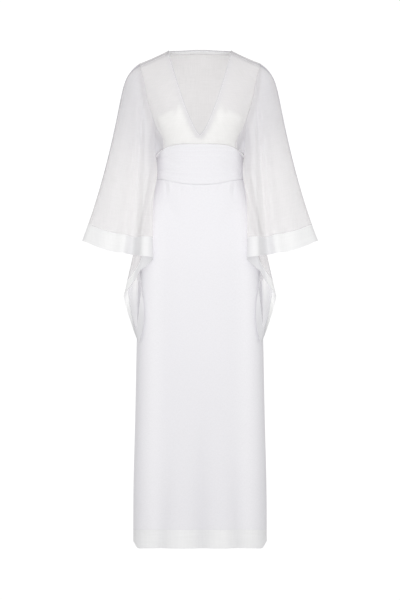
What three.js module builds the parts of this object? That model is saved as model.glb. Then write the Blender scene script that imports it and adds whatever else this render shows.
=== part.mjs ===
// A long white dress with wing sleeves, as it hangs when worn: hollow, with its neck, sleeves and hem open.
// Millimetres, +Z up. The front faces -Y and the wearer's left is +X. The origin is midway between the
// two neck ends of the shoulders, at their height, where the wearer's shoulders hold the dress.
//
// Each piece that is cut and sewn is a closed wall of cloth of its own, and lies SEAM away from its
// neighbours. A piece is a surface(u, v) that gives the outside of the cloth, with a wall behind it.
import * as THREE from "three";

// ---- Driving sizes ----
const SEAM = 0.3; // gap left between two pieces where they are sewn
const SLEEVE_SEAM = 0.9; // the same round the sleeves' sharp folds
const CLOTH = 1.5; // wall of a single layer
const DOUBLED = 2.0; // wall of a turned hem
const THIN = 1.0; // wall of a facing or lining
const BAND_WALL = 3.0; // wall of the tucked waistband
const BAND_PROUD = 1.0; // how far the waistband stands out from the skirt
const LENGTH = 1476; // shoulder to hem
const HEM_DIP = 8; // how much lower the hem hangs at the side seams
const HEM_DIP_POWER = 6; // how near to them the dip starts
const SKIRT_HEM = 55; // height of the skirt's turned hem
const FACING = 12; // width of the neck facing
const MITRE = 0.3; // share of the neck edge over which the facing turns to meet the next one
const FACING_GAP = 1.4; // space between a bodice piece and the facing behind it
const LINING_GAP = 4; // space between the front and the bust lining behind it
const TUCKS = 7; // tucks across the front of the waistband
const TUCK_DEPTH = 1.2;
const TUCK_FADE = 6; // the power by which the tucks die away into the side seams
const ACROSS = 9; // columns in half a bodice piece
const DOWN = 8; // rows in a bodice piece
const ROUND = 3; // columns in the waistband between a bodice piece and the side seam
const SLEEVE_ROWS = 7;
const SKIRT_ROWS = 8;

// ---- The form that the cloth is worn on ----
// Level sections from the shoulder line down: half width, depth in front, depth behind, and how square
// the corners are, 2 being an ellipse.
const SECTIONS = [
  { name: "shoulder", drop: -40, half: 208, front: 60, back: 72, square: 2.2 },
  { name: "yoke", drop: 50, half: 201, front: 72, back: 86, square: 2.3 },
  { name: "chest", drop: 100, half: 185, front: 86, back: 92, square: 2.4 },
  { name: "bust", drop: 200, half: 159, front: 103, back: 90, square: 2.4 },
  { name: "rib", drop: 290, half: 131, front: 92, back: 82, square: 2.3 },
  { name: "waist", drop: 370, half: 129, front: 90, back: 80, square: 2.3 },
  { name: "below waist", drop: 430, half: 143, front: 92, back: 90, square: 2.4 },
  { name: "high hip", drop: 520, half: 168, front: 98, back: 108, square: 2.5 },
  { name: "hip", drop: 640, half: 183, front: 104, back: 116, square: 2.6 },
  { name: "thigh", drop: 850, half: 189, front: 101, back: 108, square: 2.8 },
  { name: "knee", drop: 1100, half: 194, front: 96, back: 102, square: 3.0 },
  { name: "calf", drop: 1300, half: 199, front: 93, back: 99, square: 3.2 },
  { name: "hem", drop: 1480, half: 200, front: 92, back: 98, square: 3.3 },
];
const SHOULDER_SLOPE = 0.5; // fall of the shoulder for each millimetre outwards from the neck
const SHOULDER_EASE = 0.0008; // how quickly that slope grows less
const NECK_HALF = 102; // half width of the neck at the top of the shoulder
const ROUNDING = 150; // how far below the shoulder the chest and back reach their full depth
const SEAM_FORWARD = 2.83; // the shoulder seam lies this far over to the front, in roots of its drop
const BUST = { across: 74, drop: 205, width: 52, height: 62, depth: 9 };

// ---- The cut ----
const NECK_POINT = 256; // drop of the point of the V
const NECK_TOP_HALF = 93;
const NECK_CURVE = 0.71; // below 1 the V's edges bow outwards
const SHOULDER_END = 180; // half width at the armhole
const NECK_SHARE = 6 / ACROSS; // share of a bodice piece's top edge that is neck, and not shoulder
const BAND = {
  side: { top: 315, bottom: 382.5 }, // drops at the side seams
  front: { rise: 30, dip: 21.5 }, // how far its edges curve away from there at the centre
  back: { rise: 5, dip: 6 },
  flat: 5, // the power that keeps the top edge flat across the centre
  round: 1.3, // and the one that rounds the lower edge
};

// Armhole edges, from the shoulder seam down to the waistband.
const ARMHOLE = {
  front: [
    { across: 180, drop: 42 },
    { across: 165, drop: 99 },
    { across: 156, drop: 150 },
    { across: 141, drop: 198 },
    { across: 123, drop: 246 },
    { across: 105, drop: 295 },
  ],
  back: [
    { across: 180, drop: 34 },
    { across: 175, drop: 99 },
    { across: 166, drop: 150 },
    { across: 152, drop: 200 },
    { across: 134, drop: 255 },
    { across: 114, drop: 312 },
  ],
};
// An armhole edge is eased off its table near both ends, to meet the waistband and the shoulder seam.
const ARMHOLE_ENDS = { foot: 0.15, head: 0.8 };
// The bust lining, in shares of the front bodice: its width, the height of its lower edge, the height
// of its top edge beside the V and at the armhole, and where between them the top edge falls.
const LINING = { wide: 0.985, foot: 0.012, inner: 0.97, outer: 0.24, fallFrom: 0.3, fallTo: 0.66 };
const LAP = BAND_PROUD + SEAM + CLOTH + 0.5; // how far out a sleeve's edge lies over the waistband

// The back neck, from its centre to the shoulder seam: how far over the shoulder, in roots of its drop.
const BACK_NECK = [
  { across: 0, over: 3.8 },
  { across: 40, over: 3.5 },
  { across: 72, over: 2.5 },
  { across: 96, over: 0.4 },
  { across: NECK_TOP_HALF, over: -SEAM_FORWARD },
];

// The edge of a sleeve, once round from the top of the arm: front, underarm, back. A row is a fold line.
// knot is where its upper end meets the armhole, counted in the columns and rows of the pieces it is
// sewn to: 0 is the shoulder, UNDERARM the side seam, and KNOTS the shoulder again. across, depth and
// drop place its lower end. swing is how far the last stretch is folded from there, and bow how far the
// upper stretch is rounded outwards and forwards by the arm. clear is its least gap to the body, and hem
// the height of the band along its lower end.
const UNDERARM = DOWN + ROUND;
const KNOTS = 2 * UNDERARM;
const FOLDS = [
  fold("top of arm", 0, 347, 0, 566, 7, 0, 42, 0, 5, 48),
  fold("top front", 0.5, 337, -18, 570, 6, 0, 40, -12, 5, 49),
  fold("outer front", 1.5, 306, -40, 586, 0, 0, 34, -22, 5, 52),
  fold("middle front", 2.5, 262, -52, 600, 0, 0, 26, -24, 5, 55),
  fold("outer ridge", 3.5, 228, -66, 604, 0, 0, 16, -18, 5, 54),
  fold("valley", 4, 201, -54, 610, 0, 0, 8, -10, 5, 53),
  fold("inner ridge", 4.5, 172, -98, 614, 0, 0, 3, -4, 5, 58),
  fold("inner fold", 5.5, 138, -94, 621, 0, 0, -16, 0, 5, 60),
  fold("return", 6.5, 158, -82, 643, 0, 0, 22, 20, 5, 54),
  fold("return end", 7.5, 176, -77, 657, 0, 0, 36, 26, 5, 46),
  fold("tuck", 8.5, 189, -74, 679, 0, 0, 30, 16, 5, 38),
  fold("flare", 9.5, 206, -68, 703, 0, 0, 16, 6, 5, 36),
  fold("underarm seam", 11, 225, -52, 732, 0, 0, 10, 0, 9, 38),
  fold("lap", 11.5, 227, -61, 768, -8, 21, 10, 0, 8, 42),
  fold("lower lap", 12, 229, -66, 806, -22, 19, 10, 0, 8, 42),
  fold("lap end", 12.5, 230, -82, 850, -39, 24, 10, 0, 7, 42),
  fold("point", 13, 223, -98, 867, -45, 32, 10, 0, 6, 42),
  fold("leaf edge", 13.5, 215, -87, 790, -50, 11, 10, 0, 6, 42),
  fold("leaf top", 14, 173, -60, 706, 0, 0, 10, 0, 5, 42),
  fold("leaf back", 14.5, 189, -24, 676, 0, 0, 10, 2, 5, 42),
  fold("back turn", 15, 200, 14, 652, 0, 0, 10, 4, 5, 44),
  fold("back inner", 16, 200, 46, 605, 0, 0, 8, 8, 5, 48),
  fold("back valley", 17, 236, 36, 592, 0, 0, 12, 12, 5, 50),
  fold("back ridge", 18.5, 284, 58, 584, 0, 0, 24, 20, 5, 50),
  fold("outer back", 20, 322, 36, 573, 4, 0, 34, 18, 5, 50),
  fold("back edge", 21.5, 341, 17, 567, 6, 0, 40, 10, 5, 48),
];
const SWING_POWER = 6; // how late a swung fold leaves the straight line
const BOW = { fade: 2.2, start: 20 }; // how the bow dies away down the sleeve, and how soon it starts
const CLEAR_FROM = 0.06; // share of the sleeve's length by which the gap to the body is reached
const SLEEVE_SPREAD = 1.6; // rows of the sleeve lie closer together towards the armhole

// Soft folds of the skirt, each growing from its start down to the hem.
const FOLD_GATHER = 0.86; // share of a fold's distance across at which it starts
const FOLD_FULL = LENGTH + 120; // drop at which a fold would be at its full depth
const SKIRT_FOLDS = {
  front: [
    { name: "left side valley", across: 116, start: 1120, width: 20, depth: -7 },
    { name: "left ridge", across: 62, start: 1000, width: 30, depth: 4 },
    { name: "centre valley", across: 6, start: 980, width: 20, depth: -7 },
    { name: "right ridge", across: -56, start: 1010, width: 32, depth: 4 },
    { name: "right side valley", across: -114, start: 1150, width: 19, depth: -7 },
  ],
  back: [
    { name: "left valley", across: 96, start: 960, width: 24, depth: -8 },
    { name: "left ridge", across: 46, start: 900, width: 28, depth: 4 },
    { name: "centre valley", across: -8, start: 1080, width: 22, depth: -6 },
    { name: "right ridge", across: -58, start: 940, width: 30, depth: 4 },
    { name: "right valley", across: -104, start: 1020, width: 22, depth: -8 },
  ],
};

const FINISH = {
  voile: { color: 0xf4f3f4, roughness: 0.85, metalness: 0 },
  crepe: { color: 0xf8f8fb, roughness: 0.8, metalness: 0 },
  satin: { color: 0xfcfcfa, roughness: 0.5, metalness: 0 },
};

// ---- Curves and tables ----
/** A row of the sleeve's table of folds. */
function fold(name, knot, across, depth, drop, swingOut, swingDeep, bowOut, bowDeep, clear, hem) {
  return { name, knot, across, depth, drop, swingOut, swingDeep, bowOut, bowDeep, clear, hem };
}

const clamp = (x, low = 0, high = 1) => Math.min(high, Math.max(low, x));
const mix = (a, b, t) => a + (b - a) * t;
const ease = (low, high, x) => THREE.MathUtils.smoothstep(x, low, high);
const even = (i, count) => i / count;
const FRONT = -1;
const BACK = 1;
const sideName = (side) => (side === FRONT ? "front" : "back");

/** The value of key at a place in a table whose rows are at rising stations, on a smooth curve. */
function read(rows, stations, key, at) {
  const last = rows.length - 1;
  let i = 0;
  while (i < last - 1 && at > stations[i + 1]) i += 1;
  const slope = (k) => {
    const low = Math.max(0, k - 1);
    const high = Math.min(last, k + 1);
    return (rows[high][key] - rows[low][key]) / (stations[high] - stations[low]);
  };
  const span = stations[i + 1] - stations[i];
  const t = clamp((at - stations[i]) / span);
  const [t2, t3] = [t * t, t * t * t];
  return (
    (2 * t3 - 3 * t2 + 1) * rows[i][key] +
    (t3 - 2 * t2 + t) * span * slope(i) +
    (3 * t2 - 2 * t3) * rows[i + 1][key] +
    (t3 - t2) * span * slope(i + 1)
  );
}

const SECTION_DROPS = SECTIONS.map((row) => row.drop);
const section = (key, drop) => read(SECTIONS, SECTION_DROPS, key, drop);
const evenly = (rows) => rows.map((_, i) => i / (rows.length - 1));

// ---- The form ----
/** Height of the top of the shoulder above the origin, rounding off inside the neck. */
const crest = (across) =>
  across > NECK_HALF
    ? (across - NECK_HALF) * (SHOULDER_EASE * (across - NECK_HALF) - SHOULDER_SLOPE)
    : ((NECK_HALF ** 2 - across ** 2) / (2 * NECK_HALF)) * SHOULDER_SLOPE;

/** How far in front of or behind the middle the form lies, at a half width and drop. */
function depthAt(across, drop, side) {
  const n = section("square", drop);
  const share = clamp(across / section("half", drop)) ** n;
  return section(sideName(side), drop) * (1 - share) ** (1 / n);
}

/** A point of the chest or back. over is the root of the drop below the shoulder, below 0 in front. */
function torso(x, over) {
  const across = Math.abs(x);
  const side = over < 0 ? FRONT : BACK;
  const below = over * over;
  const z = crest(across) - below;
  const rounded = Math.sqrt(1 - (1 - clamp(below / ROUNDING)) ** 2);
  let deep = depthAt(across, -z, side) * rounded;
  if (side === FRONT) {
    const out = (across - BUST.across) / BUST.width;
    const down = (-z - BUST.drop) / BUST.height;
    deep += BUST.depth * Math.exp(-out * out - down * down);
  }
  return new THREE.Vector3(x, side * deep, z);
}

/** The direction out of the chest or back. */
function torsoTurn(x, over) {
  const step = 0.05;
  const along = torso(x + step, over).sub(torso(x - step, over));
  const across = torso(x, over + step).sub(torso(x, over - step));
  return along.cross(across).normalize();
}

/** The root of the drop below the shoulder for a drop below the origin. */
const overOf = (across, drop) => Math.sqrt(Math.max(0, crest(across) + drop));

/** A point round the form: turn runs from -1 at the right seam to 1 at the left one. */
function round(turn, drop, side) {
  const s = Math.sin((turn * Math.PI) / 2);
  const n = section("square", drop);
  const deep = section(sideName(side), drop) * (1 - Math.abs(s) ** n) ** (1 / n);
  return new THREE.Vector3(section("half", drop) * s, side * deep, -drop);
}

/** The level direction straight out of the form at a point. */
function outwards(point) {
  const drop = -point.z;
  const n = section("square", drop);
  const half = section("half", drop);
  const deep = section(sideName(point.y < 0 ? FRONT : BACK), drop);
  return new THREE.Vector3(
    (Math.sign(point.x) * Math.abs(point.x / half) ** (n - 1)) / half,
    (Math.sign(point.y) * Math.abs(point.y / deep) ** (n - 1)) / deep,
    0,
  ).normalize();
}

/** Moves a point out until it is clear of the form by a gap. */
function keepClear(point, gap) {
  const drop = -point.z;
  const n = section("square", drop);
  const deep = section(sideName(point.y < 0 ? FRONT : BACK), drop) + gap;
  const half = section("half", drop) + gap;
  const reach = (Math.abs(point.x / half) ** n + Math.abs(point.y / deep) ** n) ** (1 / n);
  if (reach < 1) {
    point.x /= reach;
    point.y /= reach;
  }
  return point;
}

// ---- Edges of the cut ----
/** Drops of the waistband's edges at a share of the half width. */
function bandEdge(share, side) {
  const shape = BAND[sideName(side)];
  return {
    top: BAND.side.top - shape.rise * (1 - share ** BAND.flat),
    bottom: BAND.side.bottom + shape.dip * (1 - share * share) ** BAND.round,
  };
}

const footShare = (side) => ARMHOLE[sideName(side)].at(-1).across / section("half", BAND.side.top);

/** Spreads columns round the waist, so that those of a bodice piece, band and skirt meet. */
function turnOf(part, side) {
  const share = ACROSS / (ACROSS + ROUND);
  const out = Math.abs(part);
  const centre = Math.asin(footShare(side) * Math.min(1, out / share)) / (Math.PI / 2);
  return Math.sign(part) * mix(centre, 1, Math.max(0, (out - share) / (1 - share)));
}

/** Where the lower edge of a bodice piece meets the waistband, part being 1 at the armhole. */
function footAt(part, side) {
  const share = footShare(side) * part;
  const drop = bandEdge(share, side).top;
  const across = section("half", drop) * share;
  return { across, over: side * overOf(across, drop) };
}

/** The armhole edge of a bodice piece: t is 0 at the waistband and 1 at the shoulder seam. */
function armholeEdge(t, side) {
  const rows = ARMHOLE[sideName(side)];
  const drops = rows.map((row) => row.drop);
  const foot = footAt(1, side);
  const over = mix(foot.over, -SEAM_FORWARD, t);
  let across = foot.across;
  const passes = 12; // the drop depends on the crest there, so the two are closed in on each other
  for (let i = 0; i < passes; i += 1) {
    across = read(rows, drops, "across", over * over - crest(across));
  }
  const seam = mix(across, SHOULDER_END, ease(ARMHOLE_ENDS.head, 1, t));
  return { x: mix(foot.across, seam, ease(0, ARMHOLE_ENDS.foot, t)), over };
}

/** The top edge of a bodice piece: the neck from its centre out, and then the shoulder seam. */
function topEdge(u, side) {
  if (u > NECK_SHARE) {
    const x = mix(NECK_TOP_HALF, SHOULDER_END, (u - NECK_SHARE) / (1 - NECK_SHARE));
    return { x, over: -SEAM_FORWARD };
  }
  const t = u / NECK_SHARE;
  if (side === BACK) {
    const stations = evenly(BACK_NECK);
    return {
      x: read(BACK_NECK, stations, "across", t),
      over: read(BACK_NECK, stations, "over", t),
    };
  }
  const x = NECK_TOP_HALF * t;
  const end = SEAM_FORWARD ** 2 - crest(NECK_TOP_HALF);
  return { x, over: -overOf(x, mix(NECK_POINT, end, t ** (1 / NECK_CURVE))) };
}

/** A place on a bodice piece: u runs from -1 to 1 across it, and v from the waistband to its top. */
function bodicePlace(u, v, side) {
  const part = Math.abs(u);
  const foot = footAt(part, side);
  const top = topEdge(part, side);
  const pull = armholeEdge(v, side).x - mix(footAt(1, side).across, SHOULDER_END, v);
  const x = mix(foot.across, top.x, v) + part ** 3 * pull;
  return { x: Math.sign(u) * x, over: mix(foot.over, top.over, v) };
}

function bodice(u, v, side) {
  const { x, over } = bodicePlace(u, v, side);
  return torso(x, over);
}

/** The direction out of a bodice piece, level where it meets the waistband. */
function bodiceTurn(u, v, side) {
  const { x, over } = bodicePlace(u, v, side);
  return v === 0 ? outwards(torso(x, over)) : torsoTurn(x, over);
}

// ---- Sleeves ----
/** The armhole's knots, from the shoulder down the front, round the waistband and up the back. */
function armholeKnots() {
  const half = (side) => {
    const down = Array.from({ length: DOWN + 1 }, (_, i) => {
      const v = 1 - i / DOWN;
      const point = bodice(1, v, side);
      const turn = bodiceTurn(1, v, side);
      return { point: point.addScaledVector(turn, i === DOWN ? LAP : 0), turn };
    });
    const along = Array.from({ length: ROUND }, (_, i) => {
      const turn = turnOf((ACROSS + i + 1) / (ACROSS + ROUND), side);
      const edge = bandEdge(Math.sin((turn * Math.PI) / 2), side);
      const point = round(turn, edge.top, side);
      const out = outwards(point);
      return { point: point.addScaledVector(out, LAP), turn: out };
    });
    return [...down, ...along];
  };
  return [...half(FRONT), ...half(BACK).reverse().slice(1)];
}

const ARMHOLE_KNOTS = armholeKnots();

/** A place between the armhole's knots, on the straight line from one to the next. */
function armhole(at, key) {
  const place = ((at % KNOTS) + KNOTS) % KNOTS;
  const i = Math.floor(place);
  return ARMHOLE_KNOTS[i][key].clone().lerp(ARMHOLE_KNOTS[i + 1][key], place - i);
}

// The table of folds, run on past both ends so that its curves are smooth all the way round.
const RING = [
  { ...FOLDS.at(-1), knot: FOLDS.at(-1).knot - KNOTS },
  ...FOLDS,
  { ...FOLDS[0], knot: KNOTS },
  { ...FOLDS[1], knot: FOLDS[1].knot + KNOTS },
];
const RING_KNOTS = RING.map((row) => row.knot);
const ring = (key, at) => read(RING, RING_KNOTS, key, at);

/** The left sleeve: at runs round its edge in knots, and t from the armhole to the edge. */
function sleeve(at, t) {
  const start = armhole(at, "point");
  const swing = t ** SWING_POWER;
  const bow = clamp(1 - t) ** BOW.fade * (1 - Math.exp(-BOW.start * t));
  const x = mix(start.x, ring("across", at), t);
  const y = mix(start.y, ring("depth", at), t);
  const point = new THREE.Vector3(
    x + swing * ring("swingOut", at) + bow * ring("bowOut", at),
    y + swing * ring("swingDeep", at) + bow * ring("bowDeep", at),
    mix(start.z, -ring("drop", at), t),
  );
  if (point.z > -BAND.side.top) return point;
  return keepClear(point, ring("clear", at) * ease(0, CLEAR_FROM, t));
}

// ---- Walls of cloth ----
/** The direction out of a surface, from points a small step away. */
function normalOf(surface, u, v) {
  const step = 1e-3;
  const along = surface(u + step, v).sub(surface(u - step, v));
  const up = surface(u, v + step).sub(surface(u, v - step));
  return along.cross(up).normalize();
}

/** Moves the grid's sewn edges in by half a seam, each towards the row or column beside it. */
function trim(grid, columns, rows, sewn, gap) {
  const at = (i, j) => grid[j * (columns + 1) + i];
  const shift = (place, next) => {
    const step = next.clone().sub(place);
    place.addScaledVector(step.normalize(), gap / 2);
  };
  for (let j = 0; j <= rows; j += 1) {
    if (sewn.includes("left")) shift(at(0, j), at(1, j));
    if (sewn.includes("right")) shift(at(columns, j), at(columns - 1, j));
  }
  for (let i = 0; i <= columns; i += 1) {
    if (sewn.includes("low")) shift(at(i, 0), at(i, 1));
    if (sewn.includes("high")) shift(at(i, rows), at(i, rows - 1));
  }
}

/**
 * A closed wall behind a surface. Seen from outside, u runs to the right and v up.
 * sink moves the whole wall inwards, sewn names the edges that are sewn to another piece, gap is left
 * at them, and turn may give the direction out at a place.
 */
function wall(surface, options) {
  const { columns, rows, thick, sink = 0, spread = even, sewn = [], gap = SEAM, turn } = options;
  const outer = [];
  const turns = [];
  for (let j = 0; j <= rows; j += 1) {
    for (let i = 0; i <= columns; i += 1) {
      const [u, v] = [i / columns, spread(j, rows)];
      const point = surface(u, v);
      turns.push((turn && turn(u, v, point)) || normalOf(surface, u, v));
      outer.push(point);
    }
  }
  trim(outer, columns, rows, sewn, gap);
  const inner = outer.map((p, k) => p.clone().addScaledVector(turns[k], -sink - thick));
  outer.forEach((p, k) => p.addScaledVector(turns[k], -sink));
  const count = outer.length;
  const at = (i, j, deep) => deep * count + j * (columns + 1) + i;
  const index = [];
  const quad = (a, b, c, d) => index.push(a, b, c, a, c, d);
  for (let j = 0; j < rows; j += 1) {
    for (let i = 0; i < columns; i += 1) {
      const [a, b, c, d] = [at(i, j, 0), at(i + 1, j, 0), at(i + 1, j + 1, 0), at(i, j + 1, 0)];
      const behind = [a, d, c, b].map((k) => k + count);
      if (outer[a].distanceTo(outer[c]) < outer[b].distanceTo(outer[d])) {
        quad(a, b, c, d);
        quad(...behind);
      } else {
        quad(b, c, d, a);
        quad(behind[1], behind[2], behind[3], behind[0]);
      }
    }
  }
  for (let i = 0; i < columns; i += 1) {
    quad(at(i, 0, 0), at(i, 0, 1), at(i + 1, 0, 1), at(i + 1, 0, 0));
    quad(at(i, rows, 0), at(i + 1, rows, 0), at(i + 1, rows, 1), at(i, rows, 1));
  }
  for (let j = 0; j < rows; j += 1) {
    quad(at(0, j, 0), at(0, j + 1, 0), at(0, j + 1, 1), at(0, j, 1));
    quad(at(columns, j, 0), at(columns, j, 1), at(columns, j + 1, 1), at(columns, j + 1, 0));
  }
  const geometry = new THREE.BufferGeometry();
  const points = [...outer, ...inner].flatMap((p) => [p.x, p.y, p.z]);
  geometry.setAttribute("position", new THREE.Float32BufferAttribute(points, 3));
  geometry.setIndex(index);
  geometry.computeVertexNormals();
  return geometry;
}

/** The same wall on the other side of the body. */
function mirrored(geometry) {
  const copy = geometry.clone();
  const place = copy.getAttribute("position");
  for (let i = 0; i < place.count; i += 1) place.setX(i, -place.getX(i));
  const index = copy.getIndex();
  for (let i = 0; i < index.count; i += 3) {
    const [b, c] = [index.getX(i + 1), index.getX(i + 2)];
    index.setX(i + 1, c);
    index.setX(i + 2, b);
  }
  copy.computeVertexNormals();
  return copy;
}

const dress = new THREE.Group();
dress.name = "dress";

/** Adds a piece, as a named mesh with its own material. */
function add(name, geometry, finish) {
  const mesh = new THREE.Mesh(geometry, new THREE.MeshStandardMaterial(FINISH[finish]));
  mesh.name = name;
  dress.add(mesh);
}

/** Adds a piece and its mirror image, named for the wearer's left and right. */
function addPair(name, geometry, finish) {
  add(`${name}_left`, geometry, finish);
  add(`${name}_right`, mirrored(geometry), finish);
}

// ---- Bodice, lining and facings ----
/** How far across a bodice piece u is: seen from outside it runs to the right. */
const acrossOf = (u, side) => -side * (2 * u - 1);

function addBodice() {
  for (const side of [FRONT, BACK]) {
    const surface = (u, v) => bodice(acrossOf(u, side), v, side);
    const geometry = wall(surface, {
      columns: 2 * ACROSS,
      rows: DOWN,
      thick: CLOTH,
      sewn: ["left", "right", "low", "high"],
      turn: (u, v) => bodiceTurn(acrossOf(u, side), v, side),
    });
    add(`bodice_${sideName(side)}`, geometry, "voile");
  }
}

/** Share of a bodice column, from the waistband up, that the bust lining reaches. */
const liningReach = (part) =>
  mix(LINING.inner, LINING.outer, ease(LINING.fallFrom, LINING.fallTo, part));

function addLining() {
  const place = (u, v) => {
    const across = 2 * u - 1;
    return [across * LINING.wide, mix(LINING.foot, 1, v) * liningReach(Math.abs(across))];
  };
  const geometry = wall((u, v) => bodice(...place(u, v), FRONT), {
    columns: 2 * ACROSS,
    rows: DOWN / 2,
    thick: THIN,
    sink: CLOTH + LINING_GAP,
    turn: (u, v) => bodiceTurn(...place(u, v), FRONT),
  });
  add("bust_lining", geometry, "crepe");
}

/**
 * Where the facing ends below a place on the neck edge, out being its share of the bodice's half width.
 * The facing is FACING wide all along. At the point of the V it ends straight below, and at the
 * shoulder along the seam.
 */
function facingFoot(out, side) {
  const step = 1e-3;
  const edge = topEdge(out, side);
  const before = topEdge(Math.max(0, out - step), side);
  const after = topEdge(Math.min(NECK_SHARE, out + step), side);
  const here = torso(edge.x, edge.over);
  const byX = torso(edge.x + step, edge.over).sub(here).divideScalar(step);
  const byOver = torso(edge.x, edge.over + step).sub(here).divideScalar(step);
  const along = torso(after.x, after.over).sub(torso(before.x, before.over)).normalize();
  const square = byX.clone().cross(byOver).cross(along).normalize().multiplyScalar(side);
  const down = byOver.clone().normalize().multiplyScalar(side);
  const share = out / NECK_SHARE;
  const toSeam = ease(1 - MITRE, 1, share);
  const toPoint = side === FRONT ? 1 - ease(0, MITRE, share) : 0;
  const way = square.clone().multiplyScalar(1 - toSeam - toPoint);
  way.addScaledVector(byX.clone().normalize(), toSeam).addScaledVector(down, toPoint);
  way.multiplyScalar(FACING / way.dot(square));
  const [xx, xo, oo] = [byX.dot(byX), byX.dot(byOver), byOver.dot(byOver)];
  const [wx, wo] = [way.dot(byX), way.dot(byOver)];
  const size = xx * oo - xo * xo;
  return {
    x: edge.x + (oo * wx - xo * wo) / size,
    over: edge.over + (xx * wo - xo * wx) / size,
  };
}

/** A strip behind the neck edge of a bodice piece, between two places across it. */
function neckFacing(side, from, to, columns) {
  const place = (u, v) => {
    const across = mix(from, to, u);
    const edge = topEdge(Math.abs(across), side);
    const foot = facingFoot(Math.abs(across), side);
    return [Math.sign(across) * mix(foot.x, edge.x, v), mix(foot.over, edge.over, v)];
  };
  return wall((u, v) => torso(...place(u, v)), {
    columns,
    rows: 3,
    thick: THIN,
    sink: CLOTH + (side === FRONT ? FACING_GAP : 2 * FACING_GAP),
    sewn: ["left", "right", "high"],
    turn: (u, v) => torsoTurn(...place(u, v)),
  });
}

function addFacings() {
  const columns = Math.round(NECK_SHARE * ACROSS);
  addPair("neck_facing", neckFacing(FRONT, 0, NECK_SHARE, columns), "satin");
  const back = neckFacing(BACK, NECK_SHARE, -NECK_SHARE, 2 * columns);
  add("neck_facing_back", back, "satin");
}

// ---- Waistband ----
/** The waistband's surface, with its tucks lapping like shallow steps. */
function band(side, tucks) {
  return (u, v) => {
    const turn = turnOf(acrossOf(u, side), side);
    const edge = bandEdge(Math.abs(Math.sin((turn * Math.PI) / 2)), side);
    const point = round(turn, mix(edge.bottom, edge.top, v), side);
    const step = (((v * tucks) % 1) + 1) % 1;
    const fade = 1 - turn ** TUCK_FADE;
    const sunk = tucks ? TUCK_DEPTH * Math.abs(2 * step - 1) * fade : 0;
    const proud = v <= 0 || v >= 1 ? 0 : BAND_PROUD - sunk;
    return point.addScaledVector(outwards(point), proud);
  };
}

/** At a seam the walls of both pieces turn the same way, level and straight out. */
const level = (u, v, point) =>
  u === 0 || u === 1 || v === 0 || v === 1 ? outwards(point) : null;

function addWaistband() {
  for (const [side, tucks] of [[FRONT, TUCKS], [BACK, 0]]) {
    const geometry = wall(band(side, tucks), {
      columns: 2 * (ACROSS + ROUND),
      rows: tucks ? 2 * tucks : 2,
      thick: BAND_WALL,
      sewn: ["left", "right", "low", "high"],
      turn: level,
    });
    add(`waistband_${sideName(side)}`, geometry, "crepe");
  }
}

// ---- Skirt ----
/** How far the skirt's folds stand out at a place. */
function skirtFold(x, drop, side) {
  return SKIRT_FOLDS[sideName(side)].reduce((sum, row) => {
    const grown = ease(row.start, FOLD_FULL, drop);
    const away = (x - row.across * mix(FOLD_GATHER, 1, grown)) / row.width;
    return sum + row.depth * grown * Math.exp(-away * away);
  }, 0);
}

/** The skirt's surface from a drop up to another, or up to the waistband where high is null. */
function skirt(side, low, high) {
  return (u, v) => {
    const turn = turnOf(acrossOf(u, side), side);
    const share = Math.abs(Math.sin((turn * Math.PI) / 2));
    const dip = HEM_DIP * share ** HEM_DIP_POWER;
    const top = high === null ? bandEdge(share, side).bottom : high + dip;
    const drop = mix(low + dip, top, v);
    const point = round(turn, drop, side);
    return point.addScaledVector(outwards(point), skirtFold(point.x, drop, side));
  };
}

function addSkirt() {
  const hemTop = LENGTH - SKIRT_HEM;
  for (const side of [FRONT, BACK]) {
    const columns = 2 * (ACROSS + ROUND);
    const sides = (u, v, point) => (u === 0 || u === 1 ? outwards(point) : null);
    const upper = wall(skirt(side, hemTop, null), {
      columns,
      rows: SKIRT_ROWS,
      thick: CLOTH,
      sewn: ["left", "right", "low", "high"],
      turn: (u, v, point) => (v === 1 ? outwards(point) : sides(u, v, point)),
    });
    const hem = wall(skirt(side, LENGTH, hemTop), {
      columns,
      rows: 1,
      thick: DOUBLED,
      sewn: ["left", "right", "high"],
      turn: sides,
    });
    add(`skirt_${sideName(side)}`, upper, "crepe");
    add(`skirt_hem_${sideName(side)}`, hem, "satin");
  }
}

// ---- Sleeve panels and bands ----
/**
 * The left sleeve's surface between two knots, from a share of its length up to another: 0 is the
 * armhole, 1 the edge, and null the top of the band.
 */
function sleevePart(from, to, low, high) {
  return (u, v) => {
    const at = mix(to, from, u);
    const bandTop = 1 - ring("hem", at) / (ring("drop", at) + armhole(at, "point").z);
    return sleeve(at, mix(low ?? bandTop, high ?? bandTop, v));
  };
}

function addSleeves() {
  for (const [name, from, to] of [["front", 0, UNDERARM], ["back", UNDERARM, KNOTS]]) {
    const columns = 2 * (to - from);
    const upper = wall(sleevePart(from, to, null, 0), {
      columns,
      rows: SLEEVE_ROWS,
      thick: CLOTH,
      spread: (j, count) => 1 - (1 - j / count) ** SLEEVE_SPREAD,
      gap: SLEEVE_SEAM,
      sewn: ["left", "right", "low", "high"],
      turn: (u, v) => (v === 1 ? armhole(mix(to, from, u), "turn").normalize() : null),
    });
    const hem = wall(sleevePart(from, to, 1, null), {
      columns,
      rows: 1,
      thick: DOUBLED,
      gap: SLEEVE_SEAM,
      sewn: ["left", "right", "high"],
    });
    addPair(`sleeve_${name}`, upper, "voile");
    addPair(`sleeve_band_${name}`, hem, "satin");
  }
}

addBodice();
addLining();
addFacings();
addWaistband();
addSkirt();
addSleeves();

export default dress;
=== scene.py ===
"""The looks of a long white dress with wing sleeves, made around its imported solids.

Every size is in millimetres, as a maker would measure it, and a mesh is brought to metres as it is
made. The front faces -Y and the wearer's left is +X. The origin is midway between the two neck ends of
the shoulders. Each piece of cloth is a surface worked out on a fine grid, with its folds and creases
laid on it as soft ridges and troughs, and gets its thickness from a Solidify modifier.
"""

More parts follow.
